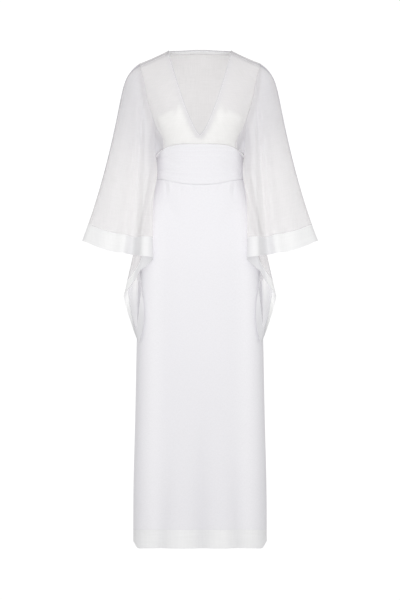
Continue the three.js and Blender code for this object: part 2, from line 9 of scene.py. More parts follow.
import logging
import math
from dataclasses import dataclass, field, replace
from enum import Enum
from functools import cache, partial
from typing import Callable, NamedTuple, Sequence

import bmesh
import bpy
import numpy as np
from mathutils import Matrix, Vector


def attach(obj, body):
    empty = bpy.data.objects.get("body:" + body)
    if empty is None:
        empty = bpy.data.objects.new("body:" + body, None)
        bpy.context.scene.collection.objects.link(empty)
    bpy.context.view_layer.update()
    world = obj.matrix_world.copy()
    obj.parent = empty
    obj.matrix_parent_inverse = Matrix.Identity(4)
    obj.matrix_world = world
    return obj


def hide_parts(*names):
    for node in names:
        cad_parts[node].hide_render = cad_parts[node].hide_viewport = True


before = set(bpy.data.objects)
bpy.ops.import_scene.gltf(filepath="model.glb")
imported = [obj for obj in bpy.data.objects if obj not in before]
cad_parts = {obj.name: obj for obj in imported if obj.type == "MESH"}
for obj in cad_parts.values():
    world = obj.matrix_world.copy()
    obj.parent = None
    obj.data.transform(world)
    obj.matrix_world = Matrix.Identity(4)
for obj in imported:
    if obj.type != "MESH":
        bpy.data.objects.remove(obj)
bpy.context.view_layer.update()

LOG = logging.getLogger("dress")
MM = 0.001
BODY = "root"
# The small step along a surface's coordinates over which its slopes are taken.
STEP = 1e-3
# The least that anything is divided by.
NEAR_ZERO = 1e-6
Place = tuple[float, float, float]
# Two arrays that belong together, such as a line's two coordinates.
Pair = tuple[np.ndarray, np.ndarray]
Surface = Callable[[np.ndarray, np.ndarray], np.ndarray]


class Option(Enum):
    """A choice whose name also goes into the names of pieces."""

    @property
    def label(self) -> str:
        """The name, in lower case."""
        return self.name.lower()


class Side(Option):
    """The front or the back of the dress, as the sign of its depth."""

    FRONT = -1
    BACK = 1


class Hand(Option):
    """The wearer's left or right, as the sign of the distance across."""

    LEFT = 1
    RIGHT = -1

    def turned(self, left: np.ndarray) -> np.ndarray:
        """The left side's grid of places as it lies on this side, still seen from outside."""
        return left[:, :: self.value] * np.array([self.value, 1.0, 1.0])


# ---- Curves and tables ----
def mix(a: np.ndarray | float, b: np.ndarray | float, t: np.ndarray | float) -> np.ndarray:
    """The value a share t of the way from a to b."""
    return a + (b - a) * t


def ease(low: float, high: float, x: np.ndarray | float) -> np.ndarray:
    """A smooth step from 0 at low to 1 at high."""
    t = np.clip((x - low) / (high - low), 0.0, 1.0)
    return t * t * (3.0 - 2.0 * t)


def bell(x: np.ndarray, middle: np.ndarray | float, reach: float) -> np.ndarray:
    """A smooth hump: 1 at its middle, and about a third at its reach to either side."""
    return np.exp(-(((x - middle) / reach) ** 2))


def unit(vectors: np.ndarray) -> np.ndarray:
    """Vectors of the same directions and a length of 1."""
    return vectors / np.linalg.norm(vectors, axis=-1, keepdims=True)


def point(x: np.ndarray, y: np.ndarray, z: np.ndarray) -> np.ndarray:
    """Places from their three coordinates, which may be single numbers."""
    return np.stack(np.broadcast_arrays(x, y, z), axis=-1).astype(float)


class Table:
    """Rows with named columns, read on a smooth curve between rising stations."""

    def __init__(self, rows: Sequence[NamedTuple], station: str) -> None:
        """Takes the rows, and the column that says where each one lies."""
        self.at = np.array([getattr(row, station) for row in rows], float)
        numbers = [name for name in rows[0]._fields if name != "name"]
        self.columns = {name: np.array([getattr(row, name) for row in rows], float) for name in numbers}

    def read(self, column: str, at: np.ndarray | float) -> np.ndarray:
        """Reads a column.

        Args:
            column: the column's name.
            at: the stations to read it at.

        Returns:
            The values there, held level past both ends.
        """
        values = self.columns[column]
        last = len(values) - 1
        below = np.maximum(np.arange(last + 1) - 1, 0)
        above = np.minimum(np.arange(last + 1) + 1, last)
        slope = (values[above] - values[below]) / (self.at[above] - self.at[below])
        i = np.clip(np.searchsorted(self.at, at) - 1, 0, last - 1)
        span = self.at[i + 1] - self.at[i]
        t = np.clip((at - self.at[i]) / span, 0.0, 1.0)
        rise = 3 * t**2 - 2 * t**3
        return (
            (1 - rise) * values[i]
            + rise * values[i + 1]
            + (t**3 - 2 * t**2 + t) * span * slope[i]
            + (t**3 - t**2) * span * slope[i + 1]
        )


class Fold(NamedTuple):
    """A soft ridge, or a trough where its depth is below 0, between two places on a piece.

    a and b are the piece's own two coordinates, in millimetres. bend is how far its middle is off the
    straight line, and sharp is how near to its ends it dies away.
    """

    a0: float
    b0: float
    a1: float
    b1: float
    bend: float
    width: float
    depth: float
    sharp: float = 1.0


def relief(folds: Sequence[Fold], a: np.ndarray, b: np.ndarray) -> np.ndarray:
    """How far a piece's folds stand out at places on it.

    Args:
        folds: the folds.
        a: the first coordinate of each place.
        b: the second one.

    Returns:
        The height there, in millimetres.
    """
    total = np.zeros(np.broadcast(a, b).shape)
    for fold in folds:
        run = np.array([fold.a1 - fold.a0, fold.b1 - fold.b0], float)
        length = np.hypot(*run)
        run /= length
        along = ((a - fold.a0) * run[0] + (b - fold.b0) * run[1]) / length
        aside = (b - fold.b0) * run[0] - (a - fold.a0) * run[1]
        t = np.clip(along, 0.0, 1.0)
        # a parabola through both ends, as far off the straight line in the middle as the bend
        aside = aside - fold.bend * 4 * t * (1 - t)
        fade = ease(0.0, 0.5 / fold.sharp, t) * ease(0.0, 0.5 / fold.sharp, 1 - t)
        total += fold.depth * fade * bell(aside, 0.0, fold.width)
    return total


# ---- The form ----
class Section(NamedTuple):
    """A level section of the form: half width, depths, and how square it is, 2 being an ellipse."""

    name: str
    drop: float
    half: float
    front: float
    back: float
    square: float


@dataclass
class Form:
    """The hollow form that the cloth is worn on."""

    sections: tuple[Section, ...] = (
        Section("shoulder", -40, 208, 60, 72, 2.2),
        Section("yoke", 50, 201, 72, 86, 2.3),
        Section("chest", 100, 185, 86, 92, 2.4),
        Section("bust", 200, 159, 103, 90, 2.4),
        Section("rib", 290, 131, 92, 82, 2.3),
        Section("waist", 370, 129, 90, 80, 2.3),
        Section("below waist", 430, 143, 92, 90, 2.4),
        Section("high hip", 520, 168, 98, 108, 2.5),
        Section("hip", 640, 183, 104, 116, 2.6),
        Section("thigh", 850, 189, 101, 108, 2.8),
        Section("knee", 1100, 194, 96, 102, 3.0),
        Section("calf", 1300, 199, 93, 99, 3.2),
        Section("hem", 1480, 200, 92, 98, 3.3),
    )
    shoulder_slope: float = 0.5
    shoulder_ease: float = 0.0008
    neck_half: float = 102.0
    rounding: float = 150.0
    bust_across: float = 74.0
    bust_drop: float = 205.0
    bust_width: float = 52.0
    bust_height: float = 62.0
    bust_depth: float = 9.0
    table: Table = field(init=False)

    def __post_init__(self) -> None:
        """Makes the table of sections."""
        self.table = Table(self.sections, "drop")

    def depth(self, drop: np.ndarray, front: np.ndarray | bool) -> np.ndarray:
        """The form's depth in front or behind, at a drop."""
        return np.where(front, self.table.read("front", drop), self.table.read("back", drop))

    def crest(self, across: np.ndarray) -> np.ndarray:
        """Height of the top of the shoulder, rounding off inside the neck."""
        out = across - self.neck_half
        sloped = out * (self.shoulder_ease * out - self.shoulder_slope)
        level = (self.neck_half**2 - across**2) / (2 * self.neck_half) * self.shoulder_slope
        return np.where(out > 0, sloped, level)

    def over(self, across: np.ndarray, drop: np.ndarray) -> np.ndarray:
        """The root of the drop below the shoulder, for a drop below the origin."""
        return np.sqrt(np.maximum(0.0, self.crest(across) + drop))

    def torso(self, x: np.ndarray, over: np.ndarray) -> np.ndarray:
        """A place on the chest or back.

        Args:
            x: distance across, to the wearer's left.
            over: root of the drop below the shoulder, below 0 in front.

        Returns:
            The places.
        """
        across = np.abs(x)
        front = over < 0
        z = self.crest(across) - over**2
        drop = -z
        square = self.table.read("square", drop)
        share = np.clip(across / self.table.read("half", drop), 0.0, 1.0) ** square
        short = 1 - np.clip(over**2 / self.rounding, 0.0, 1.0)
        deep = self.depth(drop, front) * (1 - share) ** (1 / square) * np.sqrt(1 - short**2)
        out = (across - self.bust_across) / self.bust_width
        down = (drop - self.bust_drop) / self.bust_height
        bust = self.bust_depth * np.exp(-(out**2) - down**2)
        return point(x, np.where(front, -deep - bust, deep), z)

    def torso_turn(self, x: np.ndarray, over: np.ndarray) -> np.ndarray:
        """The direction out of the chest or back."""
        step = 0.05
        along = self.torso(x + step, over) - self.torso(x - step, over)
        across = self.torso(x, over + step) - self.torso(x, over - step)
        return unit(np.cross(along, across))

    def round(self, turn: np.ndarray, drop: np.ndarray, side: Side) -> np.ndarray:
        """A place round the form, turn running from -1 at the right seam to 1 at the left one."""
        s = np.sin(turn * math.pi / 2)
        square = self.table.read("square", drop)
        deep = self.depth(drop, side is Side.FRONT) * (1 - np.abs(s) ** square) ** (1 / square)
        return point(self.table.read("half", drop) * s, side.value * deep, -drop)

    def outwards(self, places: np.ndarray) -> np.ndarray:
        """The level direction straight out of the form at some places."""
        x, y, z = np.moveaxis(places, -1, 0)
        square = self.table.read("square", -z)
        half = self.table.read("half", -z)
        deep = self.depth(-z, y < 0)
        across = np.sign(x) * np.abs(x / half) ** (square - 1) / half
        depth = np.sign(y) * np.abs(y / deep) ** (square - 1) / deep
        return unit(point(across, depth, 0.0))

    def keep_clear(self, places: np.ndarray, gap: np.ndarray) -> np.ndarray:
        """The places, moved out until they are clear of the form by a gap."""
        x, y, z = np.moveaxis(places, -1, 0)
        square = self.table.read("square", -z)
        half = self.table.read("half", -z) + gap
        deep = self.depth(-z, y < 0) + gap
        reach = (np.abs(x / half) ** square + np.abs(y / deep) ** square) ** (1 / square)
        push = np.where(reach < 1, 1 / np.maximum(reach, NEAR_ZERO), 1.0)
        return point(x * push, y * push, z)


# ---- The cut ----
class Knot(NamedTuple):
    """A place on an armhole's edge."""

    across: float
    drop: float


# The armholes' edges, from the shoulder seam down to the waistband.
FRONT_ARMHOLE = (Knot(180, 42), Knot(165, 99), Knot(156, 150), Knot(141, 198), Knot(123, 246), Knot(105, 295))
BACK_ARMHOLE = (Knot(180, 34), Knot(175, 99), Knot(166, 150), Knot(152, 200), Knot(134, 255), Knot(114, 312))


class NeckKnot(NamedTuple):
    """A place on the back neck: how far over the shoulder it lies, in roots of its drop."""

    part: float
    across: float
    over: float


class BandShape(NamedTuple):
    """How far the waistband's edges curve away from their drops at the side seams."""

    rise: float
    dip: float


@dataclass
class Cut:
    """The lines that the dress is cut along, on its form."""

    form: Form
    neck_point: float = 256.0
    neck_top_half: float = 93.0
    neck_curve: float = 0.71
    neck_share: float = 6 / 9
    shoulder_end: float = 180.0
    seam_forward: float = 2.83
    band_top: float = 315.0
    band_bottom: float = 382.5
    bodice_part: float = 9 / 12
    rise_power: int = 5
    dip_power: float = 1.3
    armhole_foot: float = 0.15
    armhole_head: float = 0.8
    armhole_rounds: int = 12
    pull_power: int = 3
    bands: dict[Side, BandShape] = field(
        default_factory=lambda: {Side.FRONT: BandShape(30, 21.5), Side.BACK: BandShape(5, 6)}
    )
    armholes: dict[Side, tuple[Knot, ...]] = field(
        default_factory=lambda: {Side.FRONT: FRONT_ARMHOLE, Side.BACK: BACK_ARMHOLE}
    )
    back_neck: tuple[NeckKnot, ...] = (
        NeckKnot(0.0, 0, 3.8),
        NeckKnot(0.25, 40, 3.5),
        NeckKnot(0.5, 72, 2.5),
        NeckKnot(0.75, 96, 0.4),
        NeckKnot(1.0, 93, -2.83),
    )

    def band_edge(self, share: np.ndarray, side: Side) -> Pair:
        """Drops of the waistband's top and lower edges, at a share of the half width."""
        shape = self.bands[side]
        top = self.band_top - shape.rise * (1 - share**self.rise_power)
        return top, self.band_bottom + shape.dip * np.maximum(0.0, 1 - share**2) ** self.dip_power

    def foot_share(self, side: Side) -> float:
        """Share of the half width at which the armhole meets the waistband."""
        return self.armholes[side][-1].across / float(self.form.table.read("half", self.band_top))

    def turn(self, part: np.ndarray, side: Side) -> np.ndarray:
        """Spreads a part of the way round the waist, so that bodice, band and skirt meet."""
        out = np.abs(part)
        inner = np.minimum(1.0, out / self.bodice_part)
        centre = np.arcsin(self.foot_share(side) * inner) / (math.pi / 2)
        rest = np.maximum(0.0, (out - self.bodice_part) / (1 - self.bodice_part))
        return np.sign(part) * mix(centre, 1.0, rest)

    def foot(self, part: np.ndarray, side: Side) -> Pair:
        """Where a bodice piece meets the waistband, part being 1 at the armhole."""
        share = self.foot_share(side) * part
        drop = self.band_edge(share, side)[0]
        across = self.form.table.read("half", drop) * share
        return across, side.value * self.form.over(across, drop)

    def armhole_edge(self, t: np.ndarray, side: Side) -> np.ndarray:
        """Distance across of a bodice piece's armhole, t running up from the waistband."""
        table = Table(self.armholes[side], "drop")
        foot_across, foot_over = self.foot(np.float64(1.0), side)
        over = mix(foot_over, -self.seam_forward, t)
        across = np.full(np.shape(t), float(foot_across))
        for _ in range(self.armhole_rounds):
            across = table.read("across", over**2 - self.form.crest(across))
        seam = mix(across, self.shoulder_end, ease(self.armhole_head, 1.0, t))
        return mix(foot_across, seam, ease(0.0, self.armhole_foot, t))

    def top_edge(self, part: np.ndarray, side: Side) -> Pair:
        """The top edge of a bodice piece: the neck from its centre out, and then the shoulder."""
        share = np.clip(part / self.neck_share, 0.0, 1.0)
        if side is Side.BACK:
            table = Table(self.back_neck, "part")
            neck_x, neck_over = table.read("across", share), table.read("over", share)
        else:
            end = self.seam_forward**2 - self.form.crest(np.float64(self.neck_top_half))
            neck_x = self.neck_top_half * share
            neck_over = -self.form.over(neck_x, mix(self.neck_point, end, share ** (1 / self.neck_curve)))
        beyond = (part - self.neck_share) / (1 - self.neck_share)
        seam_x = mix(self.neck_top_half, self.shoulder_end, beyond)
        on_seam = part > self.neck_share
        return np.where(on_seam, seam_x, neck_x), np.where(on_seam, -self.seam_forward, neck_over)

    def bodice_place(self, u: np.ndarray, v: np.ndarray, side: Side) -> Pair:
        """A place on a bodice piece, as its distance across and how far over the shoulder it is.

        Args:
            u: runs from -1 to 1 across the piece, to the wearer's left.
            v: runs from 0 at the waistband to 1 at the piece's top edge.
            side: the front or back piece.

        Returns:
            The two coordinates that Form.torso takes.
        """
        part = np.abs(u)
        foot_x, foot_over = self.foot(part, side)
        top_x, top_over = self.top_edge(part, side)
        straight = mix(self.foot(np.float64(1.0), side)[0], self.shoulder_end, v)
        pull = self.armhole_edge(v, side) - straight
        x = mix(foot_x, top_x, v) + part**self.pull_power * pull
        return np.sign(u) * x, mix(foot_over, top_over, v)

    def bodice(self, u: np.ndarray, v: np.ndarray, side: Side) -> np.ndarray:
        """A place on the outside of a bodice piece."""
        return self.form.torso(*self.bodice_place(u, v, side))


# ---- Sleeve ----
class Pleat(NamedTuple):
    """A fold line of the sleeve, from the armhole to the sleeve's edge.

    knot is where its upper end meets the armhole: 0 is the shoulder, 11 the side seam under the arm,
    and 22 the shoulder again. across, depth and drop place its lower end. swing is how far the last
    stretch is folded from there, bow how far the arm rounds the upper stretch, clear its least gap to
    the body, and hem the height of the band along its lower end.
    """

    name: str
    knot: float
    across: float
    depth: float
    drop: float
    swing_out: float
    swing_deep: float
    bow_out: float
    bow_deep: float
    clear: float
    hem: float


@dataclass
class SleeveForm:
    """The surface of the left sleeve, folded and hanging from its armhole."""

    cut: Cut
    down: int = 8
    around: int = 3
    lap: float = 3.3
    swing_power: float = 6.0
    bow_fade: float = 2.2
    bow_start: float = 20.0
    clear_from: float = 0.06
    pleats: tuple[Pleat, ...] = (
        Pleat("top of arm", 0, 347, 0, 566, 7, 0, 42, 0, 5, 48),
        Pleat("top front", 0.5, 337, -18, 570, 6, 0, 40, -12, 5, 49),
        Pleat("outer front", 1.5, 306, -40, 586, 0, 0, 34, -22, 5, 52),
        Pleat("middle front", 2.5, 262, -52, 600, 0, 0, 26, -24, 5, 55),
        Pleat("outer ridge", 3.5, 228, -66, 604, 0, 0, 16, -18, 5, 54),
        Pleat("valley", 4, 201, -54, 610, 0, 0, 8, -10, 5, 53),
        Pleat("inner ridge", 4.5, 172, -98, 614, 0, 0, 3, -4, 5, 58),
        Pleat("inner fold", 5.5, 138, -94, 621, 0, 0, -16, 0, 5, 60),
        Pleat("return", 6.5, 158, -82, 643, 0, 0, 22, 20, 5, 54),
        Pleat("return end", 7.5, 176, -77, 657, 0, 0, 36, 26, 5, 46),
        Pleat("tuck", 8.5, 189, -74, 679, 0, 0, 30, 16, 5, 38),
        Pleat("flare", 9.5, 206, -68, 703, 0, 0, 16, 6, 5, 36),
        Pleat("underarm seam", 11, 225, -52, 732, 0, 0, 10, 0, 9, 38),
        Pleat("lap", 11.5, 227, -61, 768, -8, 21, 10, 0, 8, 42),
        Pleat("lower lap", 12, 229, -66, 806, -22, 19, 10, 0, 8, 42),
        Pleat("lap end", 12.5, 230, -82, 850, -39, 24, 10, 0, 7, 42),
        Pleat("point", 13, 223, -98, 867, -45, 32, 10, 0, 6, 42),
        Pleat("leaf edge", 13.5, 215, -87, 790, -50, 11, 10, 0, 6, 42),
        Pleat("leaf top", 14, 173, -60, 706, 0, 0, 10, 0, 5, 42),
        Pleat("leaf back", 14.5, 189, -24, 676, 0, 0, 10, 2, 5, 42),
        Pleat("back turn", 15, 200, 14, 652, 0, 0, 10, 4, 5, 44),
        Pleat("back inner", 16, 200, 46, 605, 0, 0, 8, 8, 5, 48),
        Pleat("back valley", 17, 236, 36, 592, 0, 0, 12, 12, 5, 50),
        Pleat("back ridge", 18.5, 284, 58, 584, 0, 0, 24, 20, 5, 50),
        Pleat("outer back", 20, 322, 36, 573, 4, 0, 34, 18, 5, 50),
        Pleat("back edge", 21.5, 341, 17, 567, 6, 0, 40, 10, 5, 48),
    )
    ring: Table = field(init=False)

    def __post_init__(self) -> None:
        """Makes the table of fold lines, run on past both ends so that it closes smoothly."""
        first, second, last = self.pleats[0], self.pleats[1], self.pleats[-1]
        before = last._replace(knot=last.knot - self.knots)
        closed = first._replace(knot=float(self.knots))
        beyond = second._replace(knot=second.knot + self.knots)
        self.ring = Table((before, *self.pleats, closed, beyond), "knot")

    @property
    def underarm(self) -> int:
        """The knot at the side seam."""
        return self.down + self.around

    @property
    def knots(self) -> int:
        """Knots all the way round the armhole."""
        return 2 * self.underarm

    def armhole_half(self, local: np.ndarray, side: Side) -> np.ndarray:
        """The armhole's edge on one side, local running in knots from the shoulder to the seam."""
        form, cut = self.cut.form, self.cut
        x, over = cut.bodice_place(np.float64(1.0), np.clip(1 - local / self.down, 0.0, 1.0), side)
        upper = form.torso(x, over) + form.torso_turn(x, over) * (
            self.lap * ease(self.down - 1, self.down, local)[..., None]
        )
        past = np.clip((local - self.down) / self.around, 0.0, 1.0)
        turn = cut.turn(cut.bodice_part + (1 - cut.bodice_part) * past, side)
        lower = form.round(turn, cut.band_edge(np.sin(turn * math.pi / 2), side)[0], side)
        lower = lower + form.outwards(lower) * self.lap
        return np.where((local > self.down)[..., None], lower, upper)

    def armhole(self, at: np.ndarray) -> np.ndarray:
        """The armhole's edge, at running in knots all the way round it."""
        place = np.mod(at, self.knots)
        front = self.armhole_half(np.minimum(place, self.underarm), Side.FRONT)
        back = self.armhole_half(np.minimum(self.knots - place, self.underarm), Side.BACK)
        return np.where((place <= self.underarm)[..., None], front, back)

    def band_top(self, at: np.ndarray) -> np.ndarray:
        """Share of the sleeve's length at which its band starts."""
        length = self.ring.read("drop", at) + self.armhole(at)[..., 2]
        return 1 - self.ring.read("hem", at) / length

    def surface(self, at: np.ndarray, t: np.ndarray) -> np.ndarray:
        """A place on the left sleeve.

        Args:
            at: runs round the sleeve in knots.
            t: runs from 0 at the armhole to 1 at the sleeve's edge.

        Returns:
            The places.
        """
        start = self.armhole(at)
        swing = np.maximum(t, 0.0) ** self.swing_power
        bow = np.clip(1 - t, 0.0, 1.0) ** self.bow_fade * (1 - np.exp(-self.bow_start * t))
        read = self.ring.read
        x = mix(start[..., 0], read("across", at), t)
        y = mix(start[..., 1], read("depth", at), t)
        x = x + swing * read("swing_out", at) + bow * read("bow_out", at)
        y = y + swing * read("swing_deep", at) + bow * read("bow_deep", at)
        places = point(x, y, mix(start[..., 2], -read("drop", at), t))
        clear = self.cut.form.keep_clear(places, read("clear", at) * ease(0.0, self.clear_from, t))
        below = places[..., 2] < -self.cut.band_top
        return np.where(below[..., None], clear, places)


# ---- Finishes ----
# The angle that a wave texture of scale 1 runs through in a metre, in radians.
WAVE_ANGLE = 20.0


def linear(hex_colour: str) -> tuple[float, float, float, float]:
    """An sRGB hex colour as linear red, green, blue and an alpha of 1."""
    channels = [int(hex_colour[i : i + 2], 16) / 255 for i in (1, 3, 5)]
    turned = [c / 12.92 if c <= 0.04045 else ((c + 0.055) / 1.055) ** 2.4 for c in channels]
    return (*turned, 1.0)


def add_node(
    tree: bpy.types.NodeTree,
    kind: str,
    settings: dict[object, object] | None = None,
    links: dict[object, bpy.types.NodeSocket] | None = None,
) -> bpy.types.Node:
    """Adds a node to a tree.

    Args:
        tree: the tree.
        kind: the node's type, without the word that every type starts with.
        settings: values for its own fields, or for its inputs where it has no such field.
        links: its inputs' names or numbers, and the output that each takes.

    Returns:
        The node.
    """
    node = tree.nodes.new(f"ShaderNode{kind}")
    for name, value in (settings or {}).items():
        if isinstance(name, str) and hasattr(node, name):
            setattr(node, name, value)
        else:
            node.inputs[name].default_value = value
    for name, output in (links or {}).items():
        tree.links.new(output, node.inputs[name])
    return node


def emptied(owner: bpy.types.Material | bpy.types.World) -> bpy.types.NodeTree:
    """The node tree of a material or of the surroundings, with nothing in it yet."""
    owner.use_nodes = True
    owner.node_tree.nodes.clear()
    return owner.node_tree


@dataclass(frozen=True)
class Fabric:
    """A woven cloth: its colours, how it takes the light, and the sizes of its weave.

    shade is its colour in the slubs, and deep the painted shade colour that a place is mixed towards where
    its painted shade is 1.
    """

    name: str
    colour: str
    shade: str
    deep: str
    roughness: float
    sheen: float
    thread_mm: float
    slub_mm: float
    slub_long: float
    weave_height: float
    slub_height: float
    opacity: float = 1.0
    inner_opacity: float | None = None

    def inner(self) -> "Fabric":
        """The finish of a see-through wall's inner face."""
        return replace(self, name=f"{self.name}, inner face", opacity=self.inner_opacity, inner_opacity=None)

    def material(self) -> bpy.types.Material:
        """Makes the material: two sets of threads, uneven slubs along them, painted shade from the mesh, and
        a soft sheen.
        """
        material = bpy.data.materials.new(self.name)
        add = partial(add_node, emptied(material))
        place = add("TexCoord")
        cloth = add("Mapping", {}, {0: place.outputs["UV"]}).outputs[0]
        # a whole wave covers two threads
        wave = {
            "Scale": 1 / (self.thread_mm * MM) / WAVE_ANGLE * math.pi,
            "Distortion": 0.6,
            "Detail": 1.0,
        }
        waves = [add("TexWave", {"bands_direction": way, **wave}, {"Vector": cloth}) for way in "XY"]
        weave = add("Math", {"operation": "MULTIPLY"}, {k: each.outputs[1] for k, each in enumerate(waves)})
        noise = {"Scale": 1 / (self.slub_mm * MM), "Detail": 2.0, "Roughness": 0.55}
        slubs = []
        for stretch in ((1.0, 1 / self.slub_long, 1.0), (1 / self.slub_long, 1.0, 1.0)):
            drawn = add("Mapping", {"Scale": stretch}, {0: cloth}).outputs[0]
            slubs.append(add("TexNoise", noise, {"Vector": drawn}).outputs[0])
        slub = add("Math", {"operation": "ADD"}, dict(enumerate(slubs))).outputs[0]
        span = {"From Min": 0.75, "From Max": 1.3, "To Min": 0.0, "To Max": 1.0}
        spread = add("MapRange", span, {"Value": slub})
        colours = {"data_type": "RGBA", 6: linear(self.colour), 7: linear(self.shade)}
        colour = add("Mix", colours, {0: spread.outputs[0]}).outputs[2]
        # painted shade: the mesh's value at each place mixes the colour towards the deep colour
        tone = add("Attribute", {"attribute_name": "tone"}).outputs["Fac"]
        with_painted_shade = add("Mix", {"data_type": "RGBA", 7: linear(self.deep)}, {0: tone, 6: colour})
        threads = {"Strength": 0.5, "Distance": self.weave_height * MM}
        bump = add("Bump", threads, {"Height": weave.outputs[0]})
        uneven = {"Strength": 0.6, "Distance": self.slub_height * MM}
        bump = add("Bump", uneven, {"Height": slub, "Normal": bump.outputs[0]})
        finish = {
            "Roughness": self.roughness,
            "IOR": 1.5,
            "Specular IOR Level": 0.3,
            "Sheen Weight": self.sheen,
            "Sheen Roughness": 0.4,
            "Alpha": self.opacity,
        }
        shader = add("BsdfPrincipled", finish, {"Base Color": with_painted_shade.outputs[2], "Normal": bump.outputs[0]})
        add("OutputMaterial", {}, {"Surface": shader.outputs[0]})
        return material


@cache
def material_of(fabric: Fabric) -> bpy.types.Material:
    """The material for a fabric, made when it is first asked for."""
    return fabric.material()


# A fine plain-woven voile: thin, matt and half see-through, with slubs both ways. The wall's outer face
# lets nearly half of the light through and its inner face is all but clear, so the cloth counts once.
VOILE = Fabric(
    "cotton silk voile",
    "#F4F2F2",
    "#EDEBEB",
    "#ABA9B5",
    roughness=0.85,
    sheen=0.15,
    thread_mm=1.2,
    slub_mm=3.0,
    slub_long=14.0,
    weave_height=0.05,
    slub_height=0.18,
    opacity=0.55,
    inner_opacity=0.04,
)
# The painted shade that the voile has where nothing paints it lighter or darker, so that it can be painted
# lighter as well as darker.
VOILE_BASE_SHADE = 0.12
# The same voile folded on itself, as it lies in a seam, and how thick it is there.
DOUBLED_VOILE = replace(VOILE, name="doubled voile", opacity=0.7, inner_opacity=None)
SEAM_CLOTH = 0.4
# A crepe with hard-twisted threads: opaque, matt, with a fine dry grain.
CREPE = Fabric(
    "white crepe",
    "#F9F8FB",
    "#F4F3F6",
    "#D8D7DC",
    roughness=0.8,
    sheen=0.12,
    thread_mm=1.1,
    slub_mm=2.4,
    slub_long=3.0,
    weave_height=0.05,
    slub_height=0.16,
)
# The same crepe in a whiter, smoother grade, for what lies under the voile.
LINING = replace(
    CREPE, name="lining crepe", colour="#FBFCF9", shade="#F6F7F4", deep="#E6E6E6", slub_height=0.12
)
# The satin back of the cloth, turned outwards in hems and facings: smoother and brighter.
SATIN = Fabric(
    "satin-back crepe",
    "#FCFCFC",
    "#F7F7F7",
    "#C4C3C9",
    roughness=0.5,
    sheen=0.1,
    thread_mm=0.9,
    slub_mm=5.0,
    slub_long=18.0,
    weave_height=0.02,
    slub_height=0.08,
)
# Spun polyester sewing thread, a little glossier than the cloth.
THREAD = Fabric(
    "sewing thread",
    "#F8F8F6",
    "#F0F0EE",
    "#D8D8D6",
    roughness=0.55,
    sheen=0.1,
    thread_mm=0.6,
    slub_mm=1.0,
    slub_long=6.0,
    weave_height=0.02,
    slub_height=0.02,
)


class Shade(NamedTuple):
    """A painted shade on a cloth's colour that grows from nothing at its start to its depth at its end."""

    depth: float
    start: float
    end: float

    def at(self, x: np.ndarray) -> np.ndarray:
        """How deep it is at some places. Its start may be further on than its end."""
        return self.depth * ease(self.start, self.end, x)


# ---- Cloth ----
def to_mesh(name: str, shape: bmesh.types.BMesh) -> bpy.types.Mesh:
    """Makes a mesh of a finished shape, which it frees."""
    mesh = bpy.data.meshes.new(name)
    shape.to_mesh(mesh)
    shape.free()
    return mesh


def add_object(name: str, data: bpy.types.ID) -> bpy.types.Object:
    """Puts a mesh, a light or a camera into the scene, at the origin."""
    made = bpy.data.objects.new(name, data)
    bpy.context.scene.collection.objects.link(made)
    return made


def grid_mesh(name: str, places: np.ndarray, tone: np.ndarray | None = None) -> bpy.types.Mesh:
    """A smooth mesh of a grid of places, mapped by its lengths along the cloth.

    Args:
        name: the mesh's name.
        places: rows of places from the lower edge up, each from left to right seen from outside.
        tone: the painted shade at each place, from 0 to 1.

    Returns:
        The mesh, in metres.
    """
    rows, columns = places.shape[0] - 1, places.shape[1] - 1
    u = np.pad(np.cumsum(np.linalg.norm(np.diff(places, axis=1), axis=-1), axis=1), ((0, 0), (1, 0)))
    u = u - u[:, columns // 2 : columns // 2 + 1]
    v = np.pad(np.cumsum(np.linalg.norm(np.diff(places, axis=0), axis=-1), axis=0), ((1, 0), (0, 0)))
    grid = bmesh.new()
    bmesh.ops.create_grid(grid, x_segments=columns, y_segments=rows, size=1.0)
    mesh = to_mesh(name, grid)
    flat = np.empty(len(mesh.vertices) * 3)
    mesh.vertices.foreach_get("co", flat)
    flat = flat.reshape(-1, 3)
    i = np.rint((flat[:, 0] + 1) / 2 * columns).astype(int)
    j = np.rint((flat[:, 1] + 1) / 2 * rows).astype(int)
    mesh.vertices.foreach_set("co", (places[j, i] * MM).ravel())
    corners = np.empty(len(mesh.loops), np.int32)
    mesh.loops.foreach_get("vertex_index", corners)
    layer = mesh.uv_layers.new(name="cloth")
    lengths = np.stack([u[j, i], v[j, i]], axis=-1) * MM
    layer.uv.foreach_set("vector", lengths[corners].ravel())
    if tone is not None:
        mesh.attributes.new("tone", "FLOAT", "POINT").data.foreach_set("value", tone[j, i].astype(float))
    mesh.polygons.foreach_set("use_smooth", np.ones(len(mesh.polygons), bool))
    mesh.update()
    return mesh


